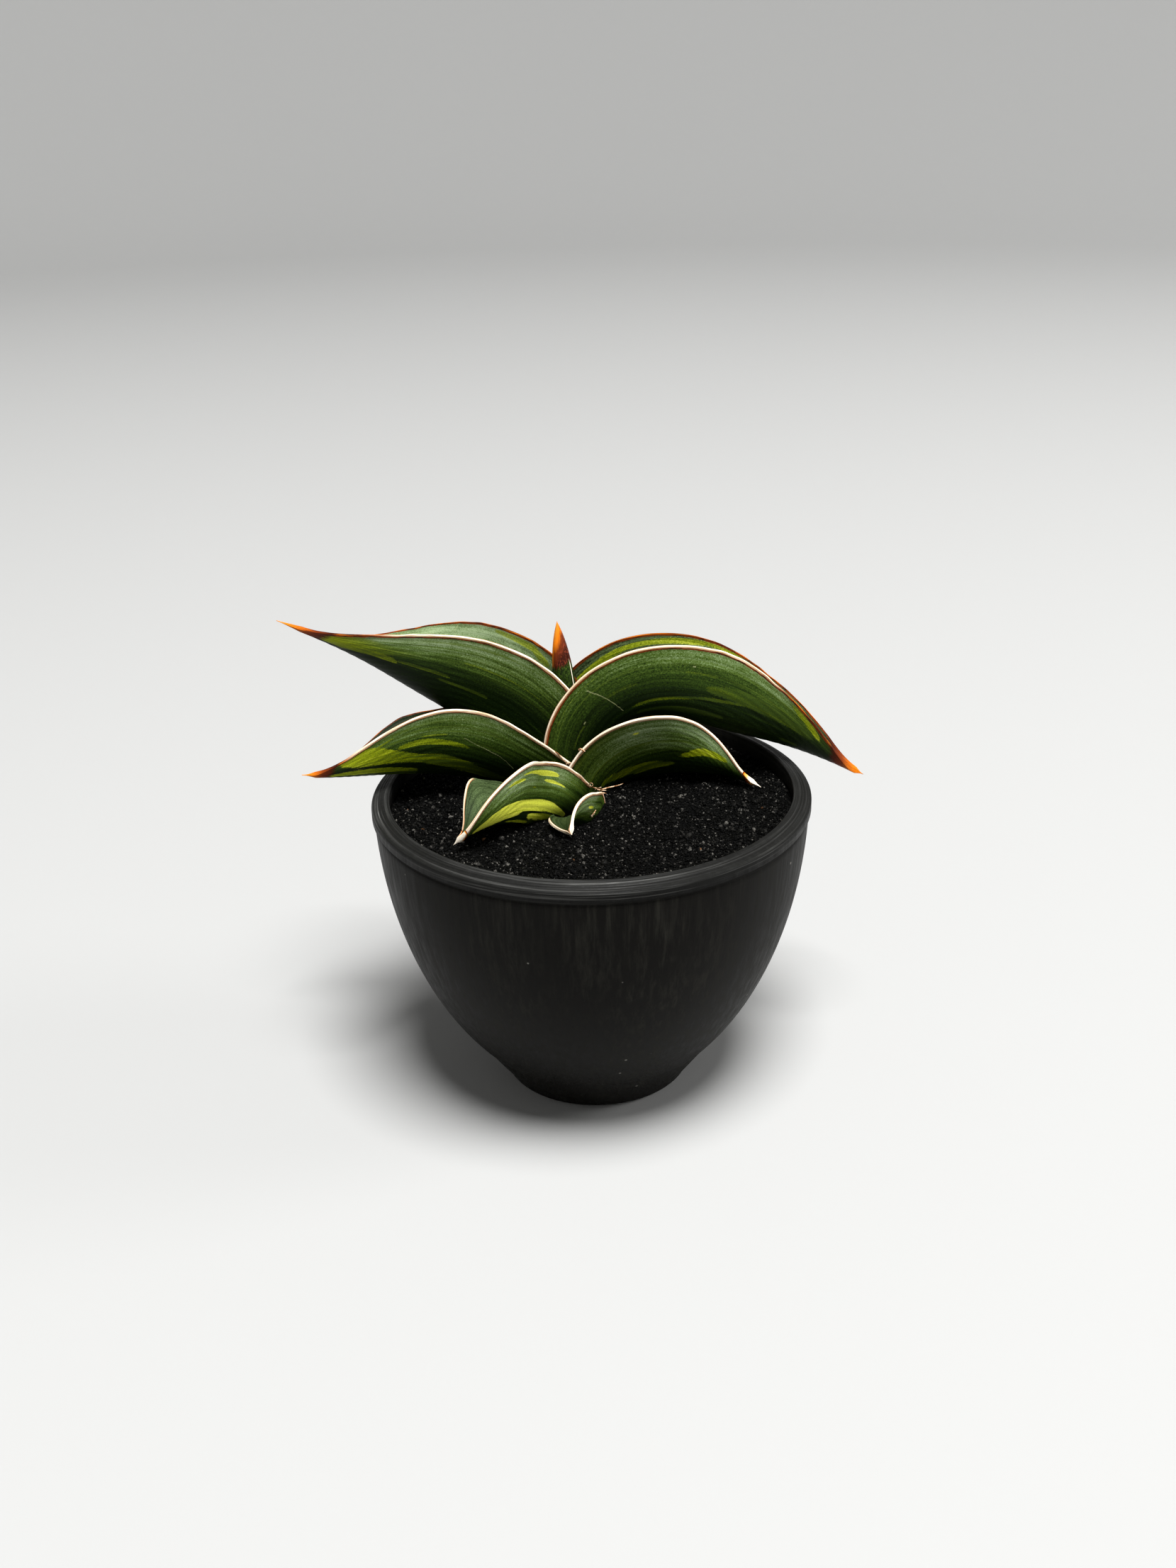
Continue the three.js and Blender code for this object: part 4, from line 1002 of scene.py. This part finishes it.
def stones_piece(name, shape, count, sizes, rise, brown_share, keep_off, material, seed):
    """Angular grains: a shape's corners pushed in and out at random, turned, and set into the soil's top. Most are
    small. Their middles rise from the soil by a share of their size, and they keep clear of the trees in keep_off."""
    shape, shape_faces = shape
    rng = np.random.default_rng(seed)
    radius = SOIL_REACH * np.sqrt(rng.uniform(0, 1, count))
    angle = rng.uniform(0, 2 * np.pi, count)
    size = sizes[0] * (sizes[1] / sizes[0]) ** (rng.uniform(0, 1, count) ** STONE_CROWDING)
    radius = np.minimum(radius, SOIL_REACH - size)
    x, y = radius * np.cos(angle), radius * np.sin(angle)
    lift = rng.uniform(-STONE_LIFT, STONE_LIFT, count)
    centre = np.stack([x, y, soil_height(x, y) + rise * size + lift * size], -1)
    push = rng.uniform(*STONE_PUSH, (count, len(shape), 1))
    skew = rng.normal(0, STONE_SKEW, (count, len(shape), 3))
    axes = np.linalg.qr(rng.normal(0, 1, (count, 3, 3)))[0]
    axes[np.linalg.det(axes) < 0, :, 0] *= -1
    stretch = rng.uniform(*STONE_STRETCH, (count, 1, 3))
    corners = np.einsum("nij,nkj->nki", axes, (shape * push + skew) * stretch) * size[:, None, None]
    tone = rng.uniform(0, 1, count)
    brown = rng.uniform(0.3, 1, count) * (rng.uniform(0, 1, count) < brown_share)
    free = np.array([all(tree.find_nearest(Vector(c * MM), (r + STONE_CLEARANCE) * MM)[0] is None for tree in keep_off)
                     for c, r in zip(centre, size)])
    points = (centre[:, None] + corners)[free]
    faces = (shape_faces[None] + len(shape) * np.arange(len(points))[:, None, None]).reshape(-1, 3)
    piece = make_piece(name, points, faces.tolist(), material)
    paint(piece, points.shape[:2], tone=tone[free, None], loose=1, brown=brown[free, None])


def shred_material():
    """Dry leaf fibre: straw to brown along the strands."""
    shred = Shader("dry_fibre", Specular_IOR_Level=0.2)
    fibres = shred.noise((900, 900, 900), 4, 0.7, 0.4)
    colour = shred.ramp(fibres, (0.34, CREAM), (0.48, CREAM_TAN), (0.58, CREAM_SHADE), (0.68, RED_BROWN))
    return shred.finish(colour, 0.75, shred.bump(fibres, 0.15, 0.8))


def shreds_piece(material):
    """Flat strips: a smooth curve through each strand's points, with an oval section that narrows to both ends."""
    share = np.linspace(0, 1, SHRED_ROWS)
    taper = 0.12 + 0.88 * np.sqrt(np.sin(np.pi * (0.04 + 0.92 * share)))
    turn = np.linspace(0, 2 * np.pi, SHRED_COLUMNS, endpoint=False)
    points, faces = [], []
    for number, (breadth, knots) in enumerate(SHREDS):
        line = np.stack([curve(axis, share) for axis in np.array(knots, float).T], -1)
        for axis in range(3):
            line[:, axis] += SHRED_CURL * lattice_noise(share * 5 + 11 * number, 5 * axis + 0 * share, 1, SEED + 8)
        along = unit(np.gradient(line, axis=0))
        wide = unit(np.cross(along, SHRED_FACING))
        thin = SHRED_FLATNESS * np.cross(along, wide)
        ring = wide[:, None] * np.cos(turn)[:, None] + thin[:, None] * np.sin(turn)[:, None]
        points.append(line[:, None] + (breadth / 2 * taper)[:, None, None] * ring)
        faces += capped_faces(SHRED_ROWS, SHRED_COLUMNS, number * SHRED_ROWS * SHRED_COLUMNS)
    piece = make_piece("dry_shreds", points, faces, material)


def rhizome_material():
    """Pale buried stem and roots, with papery ringed scars."""
    skin = Shader("rhizome")
    rings = skin.noise((90, 90, 700), 4, 0.6)
    colour = skin.mix(skin.step(rings, 0.35, 0.7), (0.48, 0.33, 0.17), (0.25, 0.14, 0.06))
    return skin.finish(colour, 0.8, skin.bump(rings, 0.3, 0.6))


def area_light(name, place, aim, size, energy):
    """A round soft light at a place, turned towards its aim, both in metres."""
    light = bpy.data.lights.new(name, "AREA")
    light.shape = "DISK"
    light.size = size
    light.energy = energy
    lamp = link_object(name, light)
    lamp.location = place
    lamp.rotation_euler = (Vector(aim) - Vector(place)).to_track_quat("-Z", "Y").to_euler()


def stage():
    """A pale round floor that sweeps up into a low wall, a soft overhead light and a weaker one from the right."""
    flat, sweep, wall_top, sides = 1800, 1000, 1900, 96
    bend = np.linspace(0, np.pi / 2, 13)
    radius = np.concatenate([np.linspace(10, flat, 12), flat + sweep * np.sin(bend[1:]), [flat + sweep]])
    height = np.concatenate([np.zeros(12), sweep * (1 - np.cos(bend[1:])), [wall_top]])
    paper = Shader("floor", Base_Color=(0.35, 0.35, 0.345), Roughness=0.9, Specular_IOR_Level=0.05)
    faces = grid_faces(len(radius), sides).tolist() + [list(range(sides))]
    mesh_object("floor", turned(radius, height, sides), faces, paper.material)
    area_light("overhead", (0.3, -0.75, 2.8), aim=(0, 0, 0.08), size=1.3, energy=200)
    area_light("right", (1.7, 0.1, 0.75), aim=(0, 0, 0.06), size=0.7, energy=15)
    world = bpy.data.worlds.new("surround")
    world.use_nodes = True
    background = world.node_tree.nodes["Background"]
    background.inputs["Color"].default_value = (1, 1, 1, 1)
    background.inputs["Strength"].default_value = 0.14
    bpy.context.scene.world = world
    bpy.context.scene.view_settings.view_transform = "Standard"


def camera():
    """The photograph's view: looks along +Y, tilted down, with a little roll."""
    lens = bpy.data.cameras.new("camera")
    lens.sensor_fit = "VERTICAL"
    lens.sensor_height = 36
    lens.lens = lens.sensor_height * FOCAL_PIXELS / PHOTO_HEIGHT
    lens.clip_start, lens.clip_end = 0.01, 50
    axes = Matrix.Rotation(math.pi / 2 - CAMERA_TILT, 4, "X") @ Matrix.Rotation(CAMERA_ROLL, 4, "Z")
    axes.translation = (Vector(CAMERA_TARGET) + axes.to_3x3() @ Vector((0, 0, CAMERA_DISTANCE))) * MM
    eye = link_object("camera", lens)
    eye.matrix_world = axes
    bpy.context.scene.camera = eye


def tree_of(piece):
    """A search tree of a piece's surface, in metres."""
    mesh = piece.data
    return BVHTree.FromPolygons([v.co[:] for v in mesh.vertices], [p.vertices[:] for p in mesh.polygons])


camera()
stage()
leaf_paint = leaf_material()
leaves = [leaf_piece(name + "_leaf", leaf, leaf_paint) for name, leaf in LEAVES.items()]
spear = spear_piece(spear_material())
pot_piece(pot_material())
grit_paint = grit_material()
soil_piece(grit_paint)
plants = [tree_of(piece) for piece in [*leaves, spear]]
stones_piece("soil_grit", OCTAHEDRON, count=23500, sizes=(0.22, 0.5), rise=0.25, brown_share=0,
             keep_off=plants, material=grit_paint, seed=SEED + 5)
stones_piece("soil_gravel", rounder(*OCTAHEDRON), count=2200, sizes=(0.35, 0.7), rise=0.15, brown_share=0.004,
             keep_off=plants, material=grit_paint, seed=SEED + 6)
shreds_piece(shred_material())
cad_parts["rhizome"].data.materials.clear()
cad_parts["rhizome"].data.materials.append(rhizome_material())
